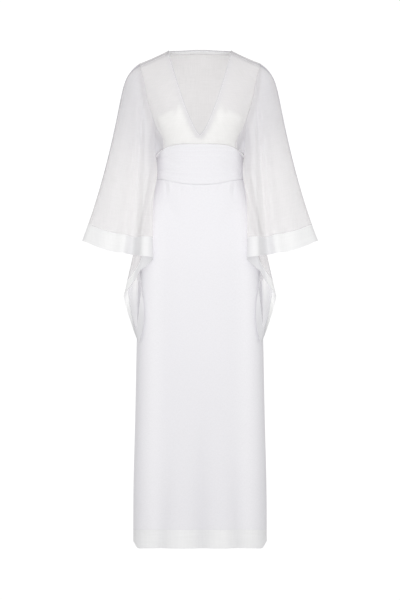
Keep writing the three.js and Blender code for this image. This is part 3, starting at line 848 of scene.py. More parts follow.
@dataclass
class Cloth:
    """A piece of cloth: a grid of places on its outside, made a wall and dressed.

    held is how it hangs, and is not used. level says that its flat width is measured level across it, as on a
    panel, and not along it, as on a slanting strip.
    """

    name: str
    node: str
    slot: str
    fabric: Fabric
    thick: float
    held: str = "hung"
    level: bool = True

    def make(
        self,
        places: np.ndarray,
        tone: np.ndarray | None = None,
        trims: Sequence[bpy.types.Object] = (),
    ) -> bpy.types.Object:
        """Makes the piece.

        Args:
            places: rows of places from the lower edge up, each from left to right seen from outside.
            tone: the painted shade at each place, from 0 to 1.
            trims: what is sewn on it, such as seams and stitches; not used.

        Returns:
            The finished piece.
        """
        piece = self.wall(grid_mesh(self.name, places, tone))
        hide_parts(self.node)
        area = cell_areas(places).sum() * MM**2
        # a V or a scoop makes an edge longer than the cloth is wide, so a panel is measured level
        steps = np.diff(places[..., : 2 if self.level else 3], axis=1)
        wide = np.linalg.norm(steps, axis=-1).sum(axis=1).max() * MM
        long = np.linalg.norm(np.diff(places, axis=0), axis=-1).sum(axis=0).max() * MM
        LOG.info("%s: %.3f x %.3f m, %.3f square metres", self.name, wide, long, area)
        return piece

    def strip(self, places: np.ndarray) -> bpy.types.Object:
        """Makes a strip that goes with another piece, such as the cloth turned inside a seam."""
        return self.wall(grid_mesh(self.name, places))

    def wall(self, mesh: bpy.types.Mesh) -> bpy.types.Object:
        """Gives a mesh its thickness and its fabric, and puts it on the body."""
        piece = add_object(self.name, mesh)
        wall = piece.modifiers.new("wall", "SOLIDIFY")
        wall.thickness = self.thick * MM
        wall.offset = -1.0
        mesh.materials.append(material_of(self.fabric))
        if self.fabric.inner_opacity is not None:
            mesh.materials.append(material_of(self.fabric.inner()))
            wall.material_offset = 1
        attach(piece, BODY)
        return piece


def cell_areas(places: np.ndarray) -> np.ndarray:
    """The area of each cell of a grid of places, in square millimetres."""
    one = places[1:, 1:] - places[:-1, :-1]
    other = places[1:, :-1] - places[:-1, 1:]
    return np.linalg.norm(np.cross(one, other), axis=-1) / 2


def normals(places: np.ndarray) -> np.ndarray:
    """The direction out of a grid of places, at each of them."""
    along = np.gradient(places, axis=1)
    up = np.gradient(places, axis=0)
    return unit(np.cross(along, up))


def stations(count: int, edge: float = 0.0) -> np.ndarray:
    """Shares from 0 to 1, with the first and last step shortened to edge where it is given."""
    shares = np.linspace(0.0, 1.0, count + 1)
    if edge:
        shares = np.concatenate([[0.0], mix(edge, 1 - edge, np.linspace(0.0, 1.0, count - 1)), [1.0]])
    return shares


def grid_of(surface: Surface, columns: int, rows: int, edge: float = 0.0) -> np.ndarray:
    """A surface's places on a grid of u, to the right seen from outside, and v, up.

    Args:
        surface: gives places for arrays of u and v.
        columns: steps along u.
        rows: steps along v.
        edge: the share that the first and last step take, or 0 to keep them even.

    Returns:
        The places, in rows from the lower edge up.
    """
    u, v = np.meshgrid(stations(columns, edge), stations(rows, edge))
    return surface(u, v)


# Places across a narrow strip.
RIBBON_PLACES = 7


def ribbon(
    surface: Surface,
    line: Pair,
    way: tuple[float, float],
    reach: tuple[float | np.ndarray, float],
    sink: float,
) -> np.ndarray:
    """A narrow strip of a surface beside a line on it.

    Args:
        surface: gives places for arrays of its two coordinates.
        line: the line's two coordinates.
        way: which way off the line the strip goes, in those coordinates.
        reach: how far off the line it starts, there or at each place on it, and how far off it ends.
        sink: how far inside the surface it lies.

    Returns:
        The places, in rows that follow the line.
    """
    u, v = (np.asarray(part, float)[:, None] for part in line)
    pace = np.linalg.norm(surface(u + way[0] * STEP, v + way[1] * STEP) - surface(u, v), axis=-1) / STEP
    off = np.linspace(*reach, RIBBON_PLACES, axis=-1) / pace
    places = surface(u + way[0] * off, v + way[1] * off)
    return places - normals(places) * sink


def inset(places: np.ndarray, distance: float, edge: int = -1) -> Pair:
    """The line at a distance from a grid's top edge, or its lower one for edge 0, and the way out there."""
    # the way in from the edge is taken over three rows
    inner = -4 if edge else 3
    return places[edge] + unit(places[inner] - places[edge]) * distance, normals(places)[inner]


# How far inside its edge a turned hem is stitched.
HEM_STITCH = 2.2


@dataclass(frozen=True)
class Stitches:
    """Rows of machine stitches, each a small plump bead of thread."""

    length: float = 2.5
    gap: float = 0.9
    thick: float = 0.42
    near: float = 0.5
    sides: int = 4
    rings: int = 6

    def make(self, name: str, slot: str, rows: Sequence[Pair]) -> bpy.types.Object:
        """Sews along lines.

        Args:
            name: the piece's name.
            slot: not used.
            rows: for each row, the places it follows and the way out at each.

        Returns:
            All the rows as one piece.
        """
        beads = bmesh.new()
        for places, out in rows:
            steps = np.linalg.norm(np.diff(places, axis=0), axis=-1)
            run = np.concatenate([[0.0], np.cumsum(steps)])
            pitch = self.length + self.gap
            for at in np.arange(pitch / 2, run[-1] - pitch / 2, pitch):
                spots = ((at, places), (at - self.near, places), (at + self.near, places), (at, out))
                here, before, after, up = (
                    Vector([np.interp(to, run, line[:, k]) for k in range(3)]) for to, line in spots
                )
                along = (after - before).normalized()
                side = up.cross(along).normalized()
                up = along.cross(side)
                turn = Matrix([along * self.length, side * self.thick, up * self.thick]).transposed().to_4x4()
                place = Matrix.Translation(here * MM) @ Matrix.Scale(MM, 4) @ turn
                bmesh.ops.create_uvsphere(
                    beads, u_segments=self.sides, v_segments=self.rings, radius=0.5, matrix=place
                )
        mesh = to_mesh(name, beads)
        mesh.polygons.foreach_set("use_smooth", np.ones(len(mesh.polygons), bool))
        mesh.uv_layers.new(name="cloth")
        mesh.materials.append(material_of(THREAD))
        piece = add_object(name, mesh)
        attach(piece, BODY)
        return piece


@dataclass
class Bodice:
    """The sheer front and back, the bust lining and the neck facings."""

    cut: Cut
    columns: int = 144
    rows: int = 110
    edge: float = 0.004
    cloth: float = 0.5
    solid_wall: float = 1.5
    foot_fade: float = 0.06
    edge_fade: float = 0.04
    facing: float = 12.0
    facing_cloth: float = 0.6
    facing_gap: float = 1.4
    # painted shade on the front neck facings
    facing_tone: float = 0.5
    facing_columns: int = 90
    mitre: float = 0.3
    off_point: float = 0.001
    neck_columns: int = 120
    strip_rows: int = 8
    stitch_row: int = 6
    stitch_proud: float = 0.1
    lining_gap: float = 4.0
    lining_cloth: float = 0.5
    lining_columns: int = 160
    lining_rows: int = 44
    lining_across: float = 0.985
    lining_foot: float = 0.012
    lining_centre: float = 0.97
    lining_side: float = 0.24
    lining_slope: tuple[float, float] = (0.3, 0.66)
    seam_columns: int = 60
    seam_clear: float = 2.0
    seam_half: float = 4.5
    seam_sink: float = 0.9
    seam_stitch: float = 4.0
    # painted shade along the back's top edge, and in a narrow band just below the front's top edge
    back_rim: Shade = Shade(0.5, 0.08, 0.0)
    front_rim: Shade = Shade(0.27, 0.012, 0.024)
    front_fade: Shade = Shade(1.0, 0.128, 0.03)

    def folds(self, side: Side) -> tuple[Fold, ...]:
        """Soft creases of a bodice piece, by distance across and height."""
        if side is Side.FRONT:
            return (
                Fold(-150, -165, -118, -268, 3, 7, -2.4),
                Fold(150, -160, 116, -262, -3, 7, -2.2),
                Fold(-140, -205, -92, -250, 4, 9, 1.6),
                Fold(140, -198, 96, -246, -4, 9, 1.5),
                Fold(-164, -110, -120, -190, 6, 10, -1.4),
                Fold(162, -105, 124, -196, -6, 11, -1.3),
            )
        return (
            Fold(-120, -120, -60, -280, 10, 14, -2.4),
            Fold(126, -110, 70, -290, -12, 15, -2.6),
            Fold(-20, -150, -34, -300, 4, 12, -1.6),
            Fold(36, -170, 22, -300, -3, 12, -1.5),
        )

    def panel(self, side: Side) -> Surface:
        """The surface of a bodice piece with its creases."""

        def surface(u: np.ndarray, v: np.ndarray) -> np.ndarray:
            across = -side.value * (2 * u - 1)
            places = self.cut.bodice(across, v, side)
            edge = ease(0.0, self.foot_fade, v) * ease(0.0, self.edge_fade, 1 - v)
            edge = edge * ease(0.0, self.edge_fade, 1 - np.abs(across))
            height = relief(self.folds(side), places[..., 0], places[..., 2]) * edge
            return places + normals(places) * height[..., None]

        return surface

    def build(self) -> None:
        """Makes every piece of the bodice."""
        for side in Side:
            node = f"bodice_{side.label}"
            places = grid_of(self.panel(side), self.columns, self.rows, self.edge)
            cloth = Cloth(f"{node}_panel", node, "voile", VOILE, self.cloth, "draped")
            piece = cloth.make(places, self.tone(side), self.trims(side))
            # sheer cloth scatters the light onwards, so the front throws no shadow on what it covers
            piece.visible_shadow = side is Side.BACK
            if side is Side.BACK:
                # behind the open neck the cloth is seen on its denser inner face
                piece.modifiers["wall"].material_offset = 0
        self.build_lining()
        self.build_facings()

    def tone(self, side: Side) -> np.ndarray:
        """The painted shade: deepest at the back's top edge, and just below the front's, over the voile's
        base painted shade.
        """
        below = 1 - stations(self.rows, self.edge)[:, None] + np.zeros(self.columns + 1)
        if side is Side.BACK:
            return self.back_rim.at(below)
        return VOILE_BASE_SHADE + self.front_rim.at(below) * self.front_fade.at(below)

    def trims(self, side: Side) -> list[bpy.types.Object]:
        """Makes the stitches round the neck and, with the front, the seams over the shoulders."""
        share = self.cut.neck_share
        size = (self.neck_columns, self.strip_rows)
        if side is Side.FRONT:
            half = grid_of(self.strip(side, self.off_point, share, -self.stitch_proud), *size)
            edges = [hand.turned(half) for hand in Hand]
        else:
            edges = [grid_of(self.strip(side, share, -share, -self.stitch_proud), *size)]
        rows = [(edge[self.stitch_row], normals(edge)[self.stitch_row]) for edge in edges]
        made = []
        if side is Side.FRONT:
            ends = (self.cut.shoulder_end - self.seam_clear, self.cut.neck_top_half + self.seam_clear)
            along = np.linspace(*ends, self.seam_columns)
            line = (along, np.full(along.shape, -self.cut.seam_forward))
            torso, way = self.cut.form.torso, (0, 1)
            inside = ribbon(torso, line, way, (-self.seam_half, self.seam_half), self.seam_sink)
            outside = ribbon(torso, line, way, (-self.seam_stitch, self.seam_stitch), -self.stitch_proud)
            for hand in Hand:
                seam = Cloth(f"shoulder_seam_{hand.label}", "", "voile", DOUBLED_VOILE, SEAM_CLOTH)
                made.append(seam.strip(hand.turned(inside)))
                sewn = hand.turned(outside)
                rows += [(sewn[:, k], normals(sewn)[:, k]) for k in (0, -1)]
        made.append(Stitches().make(f"bodice_{side.label}_stitches", "voile", rows))
        return made

    def build_lining(self) -> None:
        """Makes the bust lining, which hangs a little behind the front."""

        def surface(u: np.ndarray, v: np.ndarray) -> np.ndarray:
            across = (2 * u - 1) * self.lining_across
            fall = ease(*self.lining_slope, np.abs(2 * u - 1))
            reach = mix(self.lining_centre, self.lining_side, fall)
            x, over = self.cut.bodice_place(across, mix(self.lining_foot, 1.0, v) * reach, Side.FRONT)
            sink = self.solid_wall + self.lining_gap
            return self.cut.form.torso(x, over) - self.cut.form.torso_turn(x, over) * sink

        cloth = Cloth("bust_lining_panel", "bust_lining", "crepe", LINING, self.lining_cloth, "draped")
        piece = cloth.make(grid_of(surface, self.lining_columns, self.lining_rows))
        # one thin white layer, which lets light on to the inside of the back
        piece.visible_shadow = False

    def foot(self, out: np.ndarray, side: Side) -> Pair:
        """Where the facing ends below a place on the neck edge."""
        form, cut = self.cut.form, self.cut
        x, over = cut.top_edge(out, side)
        before = form.torso(*cut.top_edge(np.maximum(0.0, out - STEP), side))
        after = form.torso(*cut.top_edge(np.minimum(cut.neck_share, out + STEP), side))
        here = form.torso(x, over)
        by_x = (form.torso(x + STEP, over) - here) / STEP
        by_over = (form.torso(x, over + STEP) - here) / STEP
        along = unit(after - before)
        square = unit(np.cross(np.cross(by_x, by_over), along)) * side.value
        share = out / cut.neck_share
        to_seam = ease(1 - self.mitre, 1.0, share)[..., None]
        to_point = (1 - ease(0.0, self.mitre, share))[..., None] * (side is Side.FRONT)
        # square to the neck edge, turning to follow the shoulder seam and the centre line at its ends
        way = square * (1 - to_seam - to_point) + unit(by_x) * to_seam
        way = way + unit(by_over) * side.value * to_point
        way = way * (self.facing / (way * square).sum(-1, keepdims=True))
        # the two coordinates of that way, by the inner products of the slopes
        xx, oo = (by_x * by_x).sum(-1), (by_over * by_over).sum(-1)
        xo = (by_x * by_over).sum(-1)
        wx, wo = (way * by_x).sum(-1), (way * by_over).sum(-1)
        size = xx * oo - xo * xo
        return x + (oo * wx - xo * wo) / size, over + (xx * wo - xo * wx) / size

    def strip(self, side: Side, start: float, end: float, sink: float) -> Surface:
        """The surface of a facing between two places on the neck edge."""

        def surface(u: np.ndarray, v: np.ndarray) -> np.ndarray:
            across = mix(start, end, u)
            x, over = self.cut.top_edge(np.abs(across), side)
            foot_x, foot_over = self.foot(np.abs(across), side)
            x = np.sign(across) * mix(foot_x, x, v)
            over = mix(foot_over, over, v)
            return self.cut.form.torso(x, over) - self.cut.form.torso_turn(x, over) * sink

        return surface

    def build_facings(self) -> None:
        """Makes the two front facings and the back one."""
        share = self.cut.neck_share
        sink = self.solid_wall + self.facing_gap
        front = self.strip(Side.FRONT, self.off_point, share, sink)
        half = grid_of(front, self.facing_columns, self.strip_rows)
        for hand in Hand:
            # painted shade, the same all along each front facing
            tone = np.full(half.shape[:2], self.facing_tone)
            self.facing_strip(hand.label).make(hand.turned(half), tone)
        # the back one lies further in, clear of the front ones' ends
        back = self.strip(Side.BACK, share, -share, self.solid_wall + 2 * self.facing_gap)
        self.facing_strip("back").make(grid_of(back, self.neck_columns, self.strip_rows))

    def facing_strip(self, place: str) -> Cloth:
        """The cloth of one neck facing."""
        node = f"neck_facing_{place}"
        return Cloth(f"{node}_strip", node, "satin", SATIN, self.facing_cloth, "draped", level=False)


class Wave(NamedTuple):
    """An unevenness of the tucks, as shares of one tuck and angles round and up the band."""

    size: float
    round: float
    up: float
    start: float

    def at(self, turn: np.ndarray, v: np.ndarray) -> np.ndarray:
        """Its height at some places."""
        return self.size * np.sin(self.round * turn + self.up * v + self.start)


@dataclass
class Waistband:
    """The wide waistband, tucked across the front."""

    cut: Cut
    columns: int = 140
    rows: int = 104
    edge: float = 0.004
    cloth: float = 1.2
    tucks: int = 7
    proud: float = 1.0
    tuck_depth: float = 0.5
    tuck_level: float = 0.4
    tuck_fade: int = 6
    waves: tuple[Wave, ...] = (Wave(0.10, 3.1, 9, 0), Wave(0.07, 7.3, -5, 1))
    edge_fade: float = 0.03
    stitch: float = 1.6
    # painted shade across the middle of the band, leaving its sides painted lighter
    middle: Shade = Shade(0.22, 120.0, 75.0)

    def surface(self, side: Side) -> Surface:
        """The band's surface, each tuck lapping over the one below like a shallow step."""
        tucks = self.tucks if side is Side.FRONT else 0

        def surface(u: np.ndarray, v: np.ndarray) -> np.ndarray:
            form = self.cut.form
            turn = self.cut.turn(-side.value * (2 * u - 1), side)
            top, bottom = self.cut.band_edge(np.abs(np.sin(turn * math.pi / 2)), side)
            places = form.round(turn, mix(bottom, top, v), side)
            uneven = sum(wave.at(turn, v) for wave in self.waves)
            step = np.mod(v * tucks + uneven * (v > 0) * (v < 1), 1.0)
            fade = 1 - turn**self.tuck_fade
            lapped = self.tuck_depth * (step**2 - self.tuck_level) * fade if tucks else 0.0
            edge = ease(0.0, self.edge_fade, v) * ease(0.0, self.edge_fade, 1 - v)
            height = self.proud + lapped + relief(self.folds(side), places[..., 0], places[..., 2])
            return places + form.outwards(places) * (height * edge)[..., None]

        return surface

    def folds(self, side: Side) -> tuple[Fold, ...]:
        """Creases that cross the tucks."""
        if side is Side.BACK:
            return (
                Fold(-60, -330, -20, -372, 3, 7, -1.2),
                Fold(70, -336, 30, -366, -3, 8, -1.1),
                Fold(-110, -350, 100, -356, 6, 6, 1.0),
            )
        return (
            Fold(50, -340, 112, -378, -4, 5, -1.3),
            Fold(34, -312, 100, -344, 3, 6, 1.0),
            Fold(-106, -330, -58, -352, 4, 6, -0.9),
        )

    def build(self) -> None:
        """Makes the front and back of the band."""
        for side in Side:
            node = f"waistband_{side.label}"
            places = grid_of(self.surface(side), self.columns, self.rows, self.edge)
            rows = [inset(places, self.stitch, edge) for edge in (-1, 0)]
            sewn = Stitches().make(f"{node}_stitches", "crepe", rows)
            band = Cloth(f"{node}_tucked", node, "crepe", CREPE, self.cloth, "stretched")
            band.make(places, self.middle.at(np.abs(places[..., 0])), [sewn])


class LongFold(NamedTuple):
    """A long soft fold that grows towards the hem: where it starts, its width and its depth."""

    across: float
    start: float
    width: float
    depth: float


@dataclass
class Skirt:
    """The straight skirt and its deep hem."""

    cut: Cut
    length: float = 1476.0
    hem: float = 55.0
    hem_dip: float = 8.0
    dip_power: int = 6
    columns: int = 156
    rows: int = 200
    row_packing: float = 1.6
    edge: float = 0.0005
    hem_rows: int = 14
    hem_edge: float = 0.006
    cloth: float = 0.7
    hem_cloth: float = 1.6
    turned: float = 3.0
    turned_depth: float = 1.8
    corner: float = 20.0
    corner_from: float = 0.88
    seam_fade: float = 0.03
    fold_beyond: float = 120.0
    fold_gather: float = 0.86
    # painted shade: some down the middle with painted highlights to either side, more towards the foot and at
    # the sides, and more in the long folds' troughs than on their ridges
    lit_across: float = 140.0
    lit_reach: float = 30.0
    middle: float = 0.22
    hem_middle: float = 0.08
    foot_shade: Shade = Shade(0.08, 1150.0, 1400.0)
    side_shade: Shade = Shade(0.08, 165.0, 185.0)
    fold_shade: float = 0.024

    def long_folds(self, side: Side) -> tuple[LongFold, ...]:
        """The long soft folds."""
        if side is Side.FRONT:
            return (
                LongFold(116, 1120, 20, -7),
                LongFold(62, 1000, 30, 4),
                LongFold(6, 980, 20, -7),
                LongFold(-56, 1010, 32, 4),
                LongFold(-114, 1150, 19, -7),
            )
        return (
            LongFold(96, 960, 24, -8),
            LongFold(46, 900, 28, 4),
            LongFold(-8, 1080, 22, -6),
            LongFold(-58, 940, 30, 4),
            LongFold(-104, 1020, 22, -8),
        )

    def fold_shares(self, side: Side, x: np.ndarray, drop: np.ndarray) -> list[tuple[float, np.ndarray]]:
        """Each long fold's depth, and the share of it that is reached at each place."""
        shares = []
        for fold in self.long_folds(side):
            grown = ease(fold.start, self.length + self.fold_beyond, drop)
            across = fold.across * mix(self.fold_gather, 1.0, grown)
            shares.append((fold.depth, grown * bell(x, across, fold.width)))
        return shares

    def tone(self, side: Side, places: np.ndarray, middle: float) -> np.ndarray:
        """The painted shade: a little down the middle with painted highlights to either side, more at the
        foot and the sides, and more in the long folds' troughs than on their ridges.
        """
        x, drop = places[..., 0], -places[..., 2]
        tone = middle * (1 - bell(np.abs(x), self.lit_across, self.lit_reach)) + self.foot_shade.at(drop)
        tone = tone + self.side_shade.at(np.abs(x))
        for depth, share in self.fold_shares(side, x, drop):
            tone = tone - self.fold_shade * depth * share
        return np.clip(tone, 0.0, 1.0)

    def folds(self, side: Side) -> tuple[Fold, ...]:
        """Short gathers under the waistband and faint drags below them."""
        if side is Side.FRONT:
            return (
                Fold(-105, -370, -100, -452, 2, 4, -1.5),
                Fold(-88, -378, -86, -440, -2, 4, 1.4),
                Fold(-61, -384, -58, -462, 2, 4, -1.3),
                Fold(-20, -396, -22, -440, 1, 5, -1.0),
                Fold(57, -385, 55, -458, -2, 4, -1.3),
                Fold(84, -380, 86, -446, 2, 4, 1.4),
                Fold(104, -372, 100, -462, -2, 4, -1.6),
                Fold(24, -396, 26, -450, 1, 5, -1.2),
                Fold(-126, -420, -60, -560, 14, 18, -1.6),
                Fold(128, -430, 70, -590, -16, 20, -1.8),
                Fold(-40, -520, -60, -900, 12, 26, -1.5),
                Fold(48, -560, 66, -960, -12, 28, -1.6),
            )
        return (
            Fold(-96, -372, -92, -470, 2, 5, -2.4),
            Fold(-50, -376, -48, -450, 2, 5, -2.0),
            Fold(0, -380, 2, -470, 2, 5, -2.2),
            Fold(54, -376, 50, -462, -2, 5, -2.2),
            Fold(98, -372, 94, -456, -2, 5, -2.0),
            Fold(-120, -560, -70, -800, 14, 24, -2.6),
            Fold(118, -580, 66, -830, -14, 24, -2.4),
        )

    def surface(self, side: Side, low: float, high: float | None) -> Surface:
        """The skirt's surface between two drops, or up to the waistband where high is None.

        Args:
            side: the front or the back.
            low: the drop of its lower edge in the middle.
            high: the drop of its upper edge in the middle, or None.

        Returns:
            The surface.
        """
        to_band = high is None

        def surface(u: np.ndarray, v: np.ndarray) -> np.ndarray:
            form = self.cut.form
            turn = self.cut.turn(-side.value * (2 * u - 1), side)
            share = np.abs(np.sin(turn * math.pi / 2))
            dip = self.hem_dip * share**self.dip_power
            top = self.cut.band_edge(share, side)[1] if to_band else high + dip
            rise = self.corner * ease(self.corner_from, 1.0, share) ** 2
            foot = low + dip - rise * (low == self.length)
            # rows lie closer together towards the waistband, where the gathers are small
            drop = mix(foot, top, 1 - (1 - v) ** self.row_packing if to_band else v)
            places = form.round(turn, drop, side)
            under_band = bell(drop, top, self.turned) if to_band else 0.0
            height = np.zeros(drop.shape) - self.turned_depth * under_band
            for depth, grown in self.fold_shares(side, places[..., 0], drop):
                height += depth * grown
            seam = ease(0.0, self.seam_fade, 1 - np.abs(turn))
            height += relief(self.folds(side), places[..., 0], places[..., 2]) * seam
            return places + form.outwards(places) * height[..., None]

        return surface

    def build(self) -> None:
        """Makes the front and back of the skirt and of its hem."""
        hem_top = self.length - self.hem
        for side in Side:
            node = f"skirt_{side.label}"
            upper = grid_of(self.surface(side, hem_top, None), self.columns, self.rows, self.edge)
            panel = Cloth(f"{node}_panel", node, "crepe", CREPE, self.cloth)
            panel.make(upper, self.tone(side, upper, self.middle))
            node = f"skirt_hem_{side.label}"
            turned_up = self.surface(side, self.length, hem_top)
            lower = grid_of(turned_up, self.columns, self.hem_rows, self.hem_edge)
            sewn = Stitches().make(f"{node}_stitches", "satin", [inset(lower, HEM_STITCH)])
            hem = Cloth(f"{node}_turned", node, "satin", SATIN, self.hem_cloth)
            hem.make(lower, self.tone(side, lower, self.hem_middle), [sewn])


class Lie(NamedTuple):
    """The painted shade of a sleeve at a fold line: on its band, and on its sheer upper part."""

    knot: float
    band: float
    sheer: float


@dataclass
class Sleeves:
    """The two wing sleeves, each a front and a back panel with a deep band."""

    form: SleeveForm
    per_knot: int = 12
    rows: int = 90
    band_rows: int = 12
    cloth: float = 0.5
    band_cloth: float = 1.4
    edge: float = 0.002
    nip: float = 12.0
    nip_knot: float = 5.5
    nip_around: float = 0.5
    nip_drop: float = 365.0
    nip_reach: float = 60.0
    # painted shade on the sheer part: over the arm, in the fold at fold_knot, along the top edge and on the
    # hanging leaf; the inner fold is painted lighter
    arm: Shade = Shade(0.26, 0.65, 0.1)
    fold: Shade = Shade(0.2, 0.3, 0.1)
    fold_knot: float = 7.6
    fold_reach: float = 1.0
    outer: Shade = Shade(0.4, 0.95, 0.5)
    outer_reach: float = 0.35
    low: Shade = Shade(1.0, 0.66, 0.86)
    inner: Shade = Shade(1.0, 0.25, 0.5)
    inner_knot: float = 6.5
    inner_reach: float = 3.0
    seam_low: float = 0.93
    seam_high: float = 0.004
    seam_steps: int = 120
    hole_steps: int = 260
    hole_line: float = 0.003
    seam_sink: float = 1.0
    arm_seam: float = 4.5
    under_seam: float = 3.5
    hole_seam: float = 5.0
    # painted shade at each fold line, on the band and on the sheer part
    lies: tuple[Lie, ...] = (
        Lie(0, 0.2, 0.0),
        Lie(0.6, 0.05, 0.0),
        Lie(1.5, 0.1, 0.0),
        Lie(2.3, 0.0, 0.0),
        Lie(3.3, 0.0, 0.0),
        Lie(3.85, 0.35, 0.0),
        Lie(4.3, 0.3, 0.0),
        Lie(4.7, 0.15, 0.0),
        Lie(5.4, 0.45, 0.0),
        Lie(6.5, 0.4, 0.0),
        Lie(8.8, 0.4, 0.0),
        Lie(9.4, 0.0, 0.0),
        Lie(11.0, 0.0, 0.2),
        Lie(11.4, 0.0, 0.45),
        Lie(12.2, 0.0, 0.55),
        Lie(12.6, 0.4, 0.55),
        Lie(13.4, 0.5, 0.5),
        Lie(13.8, 0.4, 0.35),
        Lie(14.3, 0.1, 0.1),
        Lie(17.0, 0.1, 0.0),
        Lie(22.0, 0.2, 0.0),
    )

    def surface(self, start: float, end: float, low: float | None, high: float | None) -> Surface:
        """The sleeve between two knots and two shares of its length, None being the band's top."""

        def surface(u: np.ndarray, v: np.ndarray) -> np.ndarray:
            at = mix(end, start, u)
            top = self.form.band_top(at)
            return self.nipped(at, mix(top if low is None else low, top if high is None else high, v))

        return surface

    def nipped(self, at: np.ndarray, t: np.ndarray) -> np.ndarray:
        """The sleeve's surface, its inner fold drawn in against the waist."""
        places = self.form.surface(at, t)
        round_fold = ((at - self.nip_knot) / self.nip_around) ** 2
        down_fold = ((places[..., 2] + self.nip_drop) / self.nip_reach) ** 2
        return places - point(self.nip * np.exp(-round_fold - down_fold), 0.0, 0.0)

    def tone(self, start: float, end: float, shape: tuple[int, int], on_band: bool) -> np.ndarray:
        """The painted shade: over the arm and along its top, in a fold and on the hanging leaf, and painted
        lighter on the inner fold below the arm.
        """
        u, v = np.meshgrid(*(stations(count - 1, self.edge) for count in shape[::-1]))
        at = mix(end, start, u)
        table = Table(self.lies, "knot")
        if on_band:
            return np.clip(table.read("band", at), 0.0, 1.0)
        t = mix(self.form.band_top(at), 0.0, v)
        # painted light: below the arm the inner fold loses the voile's base painted shade
        tone = VOILE_BASE_SHADE * (1 - bell(at, self.inner_knot, self.inner_reach) * self.inner.at(t))
        tone = tone + self.arm.at(t) + bell(at, self.fold_knot, self.fold_reach) * self.fold.at(t)
        from_top = np.minimum(at, self.form.knots - at)
        tone = tone + bell(from_top, 0.0, self.outer_reach) * self.outer.at(t)
        return np.clip(tone + table.read("sheer", at) * self.low.at(t), 0.0, 1.0)

    def seams(self) -> dict[str, np.ndarray]:
        """The cloth turned inside the left sleeve's seams, by name."""
        knots, under = self.form.knots, self.form.underarm
        down = np.linspace(self.seam_low, self.seam_high, self.seam_steps)
        round_hole = np.linspace(knots, 0, self.hole_steps)
        over_arm = (np.zeros(down.shape), down)
        under_arm = (np.full(down.shape, float(under)), down)
        hole = (round_hole, np.full(round_hole.shape, self.hole_line))
        # behind the arm it also reaches on to the back, across the lap
        onto_back = -self.hole_seam * ease(under + 1, under + 2, round_hole)
        turned_in = partial(ribbon, self.nipped, sink=self.seam_sink)
        return {
            "over_arm_seam": turned_in(over_arm, (1, 0), (self.arm_seam, -self.arm_seam)),
            "underarm_seam": turned_in(under_arm, (1, 0), (self.under_seam, -self.under_seam)),
            "armhole_seam": turned_in(hole, (0, 1), (onto_back, self.hole_seam)),
        }

    def build(self) -> None:
        """Makes both sleeves."""
        under, knots = self.form.underarm, self.form.knots
        seams = self.seams()
        for side, start, end in ((Side.FRONT, 0, under), (Side.BACK, under, knots)):
            columns = self.per_knot * (end - start)
            upper = grid_of(self.surface(start, end, None, 0.0), columns, self.rows, self.edge)
            band = grid_of(self.surface(start, end, 1.0, None), columns, self.band_rows, self.edge)
            upper_painted_shade = self.tone(start, end, upper.shape[:2], False)
            band_painted_shade = self.tone(start, end, band.shape[:2], True)
            for hand in Hand:
                trims = []
                if side is Side.FRONT:
                    for name, places in seams.items():
                        strip = Cloth(f"{name}_{hand.label}", "", "voile", DOUBLED_VOILE, SEAM_CLOTH)
                        trims.append(strip.strip(hand.turned(places)))
                node = f"sleeve_{side.label}_{hand.label}"
                cloth = Cloth(f"{node}_panel", node, "voile", VOILE, self.cloth, "folded")
                piece = cloth.make(hand.turned(upper), upper_painted_shade[:, :: hand.value], trims)
                node = f"sleeve_band_{side.label}_{hand.label}"
                places = hand.turned(band)
                rows = [inset(places, HEM_STITCH)]
                sewn = Stitches().make(f"{node}_stitches", "satin", rows)
                hem = Cloth(f"{node}_turned", node, "satin", SATIN, self.band_cloth, "folded")
                made = hem.make(places, band_painted_shade[:, :: hand.value], [sewn])
                # the thin cloth scatters the light onwards, so the sleeves throw no shadow
                piece.visible_shadow = made.visible_shadow = False


# ---- Studio ----
class SoftBox(NamedTuple):
    """A soft light: its place and where it is aimed, its size in metres and its power in watts."""

    name: str
    place: Place
    aim: Place
    size: tuple[float, float]
    power: float


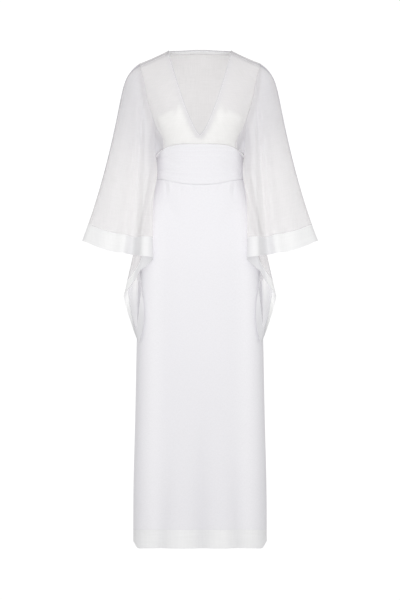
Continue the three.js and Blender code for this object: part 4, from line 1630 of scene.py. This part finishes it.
@dataclass
class Studio:
    """A pale floor, soft lights, white surroundings and the camera."""

    floor_z: float = -1800.0
    floor_radius: float = 800.0
    camera_distance: float = 5000.0
    camera_z: float = -744.0
    lens: float = 100.0
    sensor: float = 36.0
    surroundings: float = 1.05
    ambient: float = 0.76
    ambient_from: float = 0.2
    ambient_below: float = 0.25
    lights: tuple[SoftBox, ...] = (
        SoftBox("front light", (0.0, -1700.0, -350.0), (0.0, 0.0, -350.0), (1.8, 1.0), 12.5),
        SoftBox("top light", (0.0, -300.0, 2600.0), (0.0, 0.0, -600.0), (2.6, 2.0), 3.0),
        SoftBox("back light", (-1200.0, 2600.0, 500.0), (0.0, 0.0, -600.0), (2.0, 2.0), 9.0),
    )

    def build(self) -> None:
        """Sets up everything round the dress."""
        self.build_floor()
        self.build_world()
        for box in self.lights:
            self.build_light(box)
        self.build_camera()

    def build_floor(self) -> None:
        """A matt white board that lies under the hem."""
        disc = bmesh.new()
        bmesh.ops.create_circle(disc, cap_ends=True, segments=96, radius=self.floor_radius * MM)
        bmesh.ops.translate(disc, verts=disc.verts, vec=(0.0, 0.0, self.floor_z * MM))
        floor = add_object("floor", to_mesh("floor", disc))
        board = bpy.data.materials.new("white painted board")
        add = partial(add_node, emptied(board))
        paint = {"Base Color": linear("#E6E6E6"), "Roughness": 0.9, "Specular IOR Level": 0.1}
        add("OutputMaterial", {}, {"Surface": add("BsdfPrincipled", paint).outputs[0]})
        floor.data.materials.append(board)

    def build_world(self) -> None:
        """White surroundings: full white to the eye, and a softer light on the cloth, least from below."""
        world = bpy.data.worlds.new("white surroundings")
        bpy.context.scene.world = world
        add = partial(add_node, emptied(world))
        white = linear("#FFFFFF")
        seen = add("Background", {"Color": white, "Strength": self.surroundings})
        place = add("TexCoord")
        axes = add("SeparateXYZ", {}, {0: place.outputs["Generated"]})
        span = {
            "From Min": -1.0,
            "From Max": self.ambient_from,
            "To Min": self.ambient_below,
            "To Max": self.ambient,
        }
        rise = add("MapRange", span, {0: axes.outputs[2]})
        cast = add("Background", {"Color": white}, {"Strength": rise.outputs[0]})
        path = add("LightPath")
        both = {0: path.outputs["Is Camera Ray"], 1: cast.outputs[0], 2: seen.outputs[0]}
        add("OutputWorld", {}, {"Surface": add("MixShader", {}, both).outputs[0]})

    def build_light(self, box: SoftBox) -> None:
        """Adds a soft light."""
        data = bpy.data.lights.new(box.name, "AREA")
        data.shape = "RECTANGLE"
        data.size, data.size_y = box.size
        data.energy = box.power
        light = add_object(box.name, data)
        light.location = Vector(box.place) * MM
        light.visible_camera = False
        light.rotation_euler = (Vector(box.aim) - Vector(box.place)).to_track_quat("-Z", "Y").to_euler()

    def build_camera(self) -> None:
        """Adds the camera, level and straight in front."""
        data = bpy.data.cameras.new("camera")
        data.lens = self.lens
        data.sensor_width = self.sensor
        camera = add_object("camera", data)
        camera.location = Vector((0.0, -self.camera_distance, self.camera_z)) * MM
        camera.rotation_euler = (math.pi / 2, 0.0, 0.0)
        bpy.context.scene.camera = camera
        bpy.context.scene.view_settings.view_transform = "Standard"


def main() -> None:
    """Builds the dress and the studio."""
    logging.basicConfig(level=logging.INFO, format="%(message)s")
    cut = Cut(Form())
    Bodice(cut).build()
    Waistband(cut).build()
    Skirt(cut).build()
    Sleeves(SleeveForm(cut)).build()
    Studio().build()


if __name__ == "__main__":
    main()
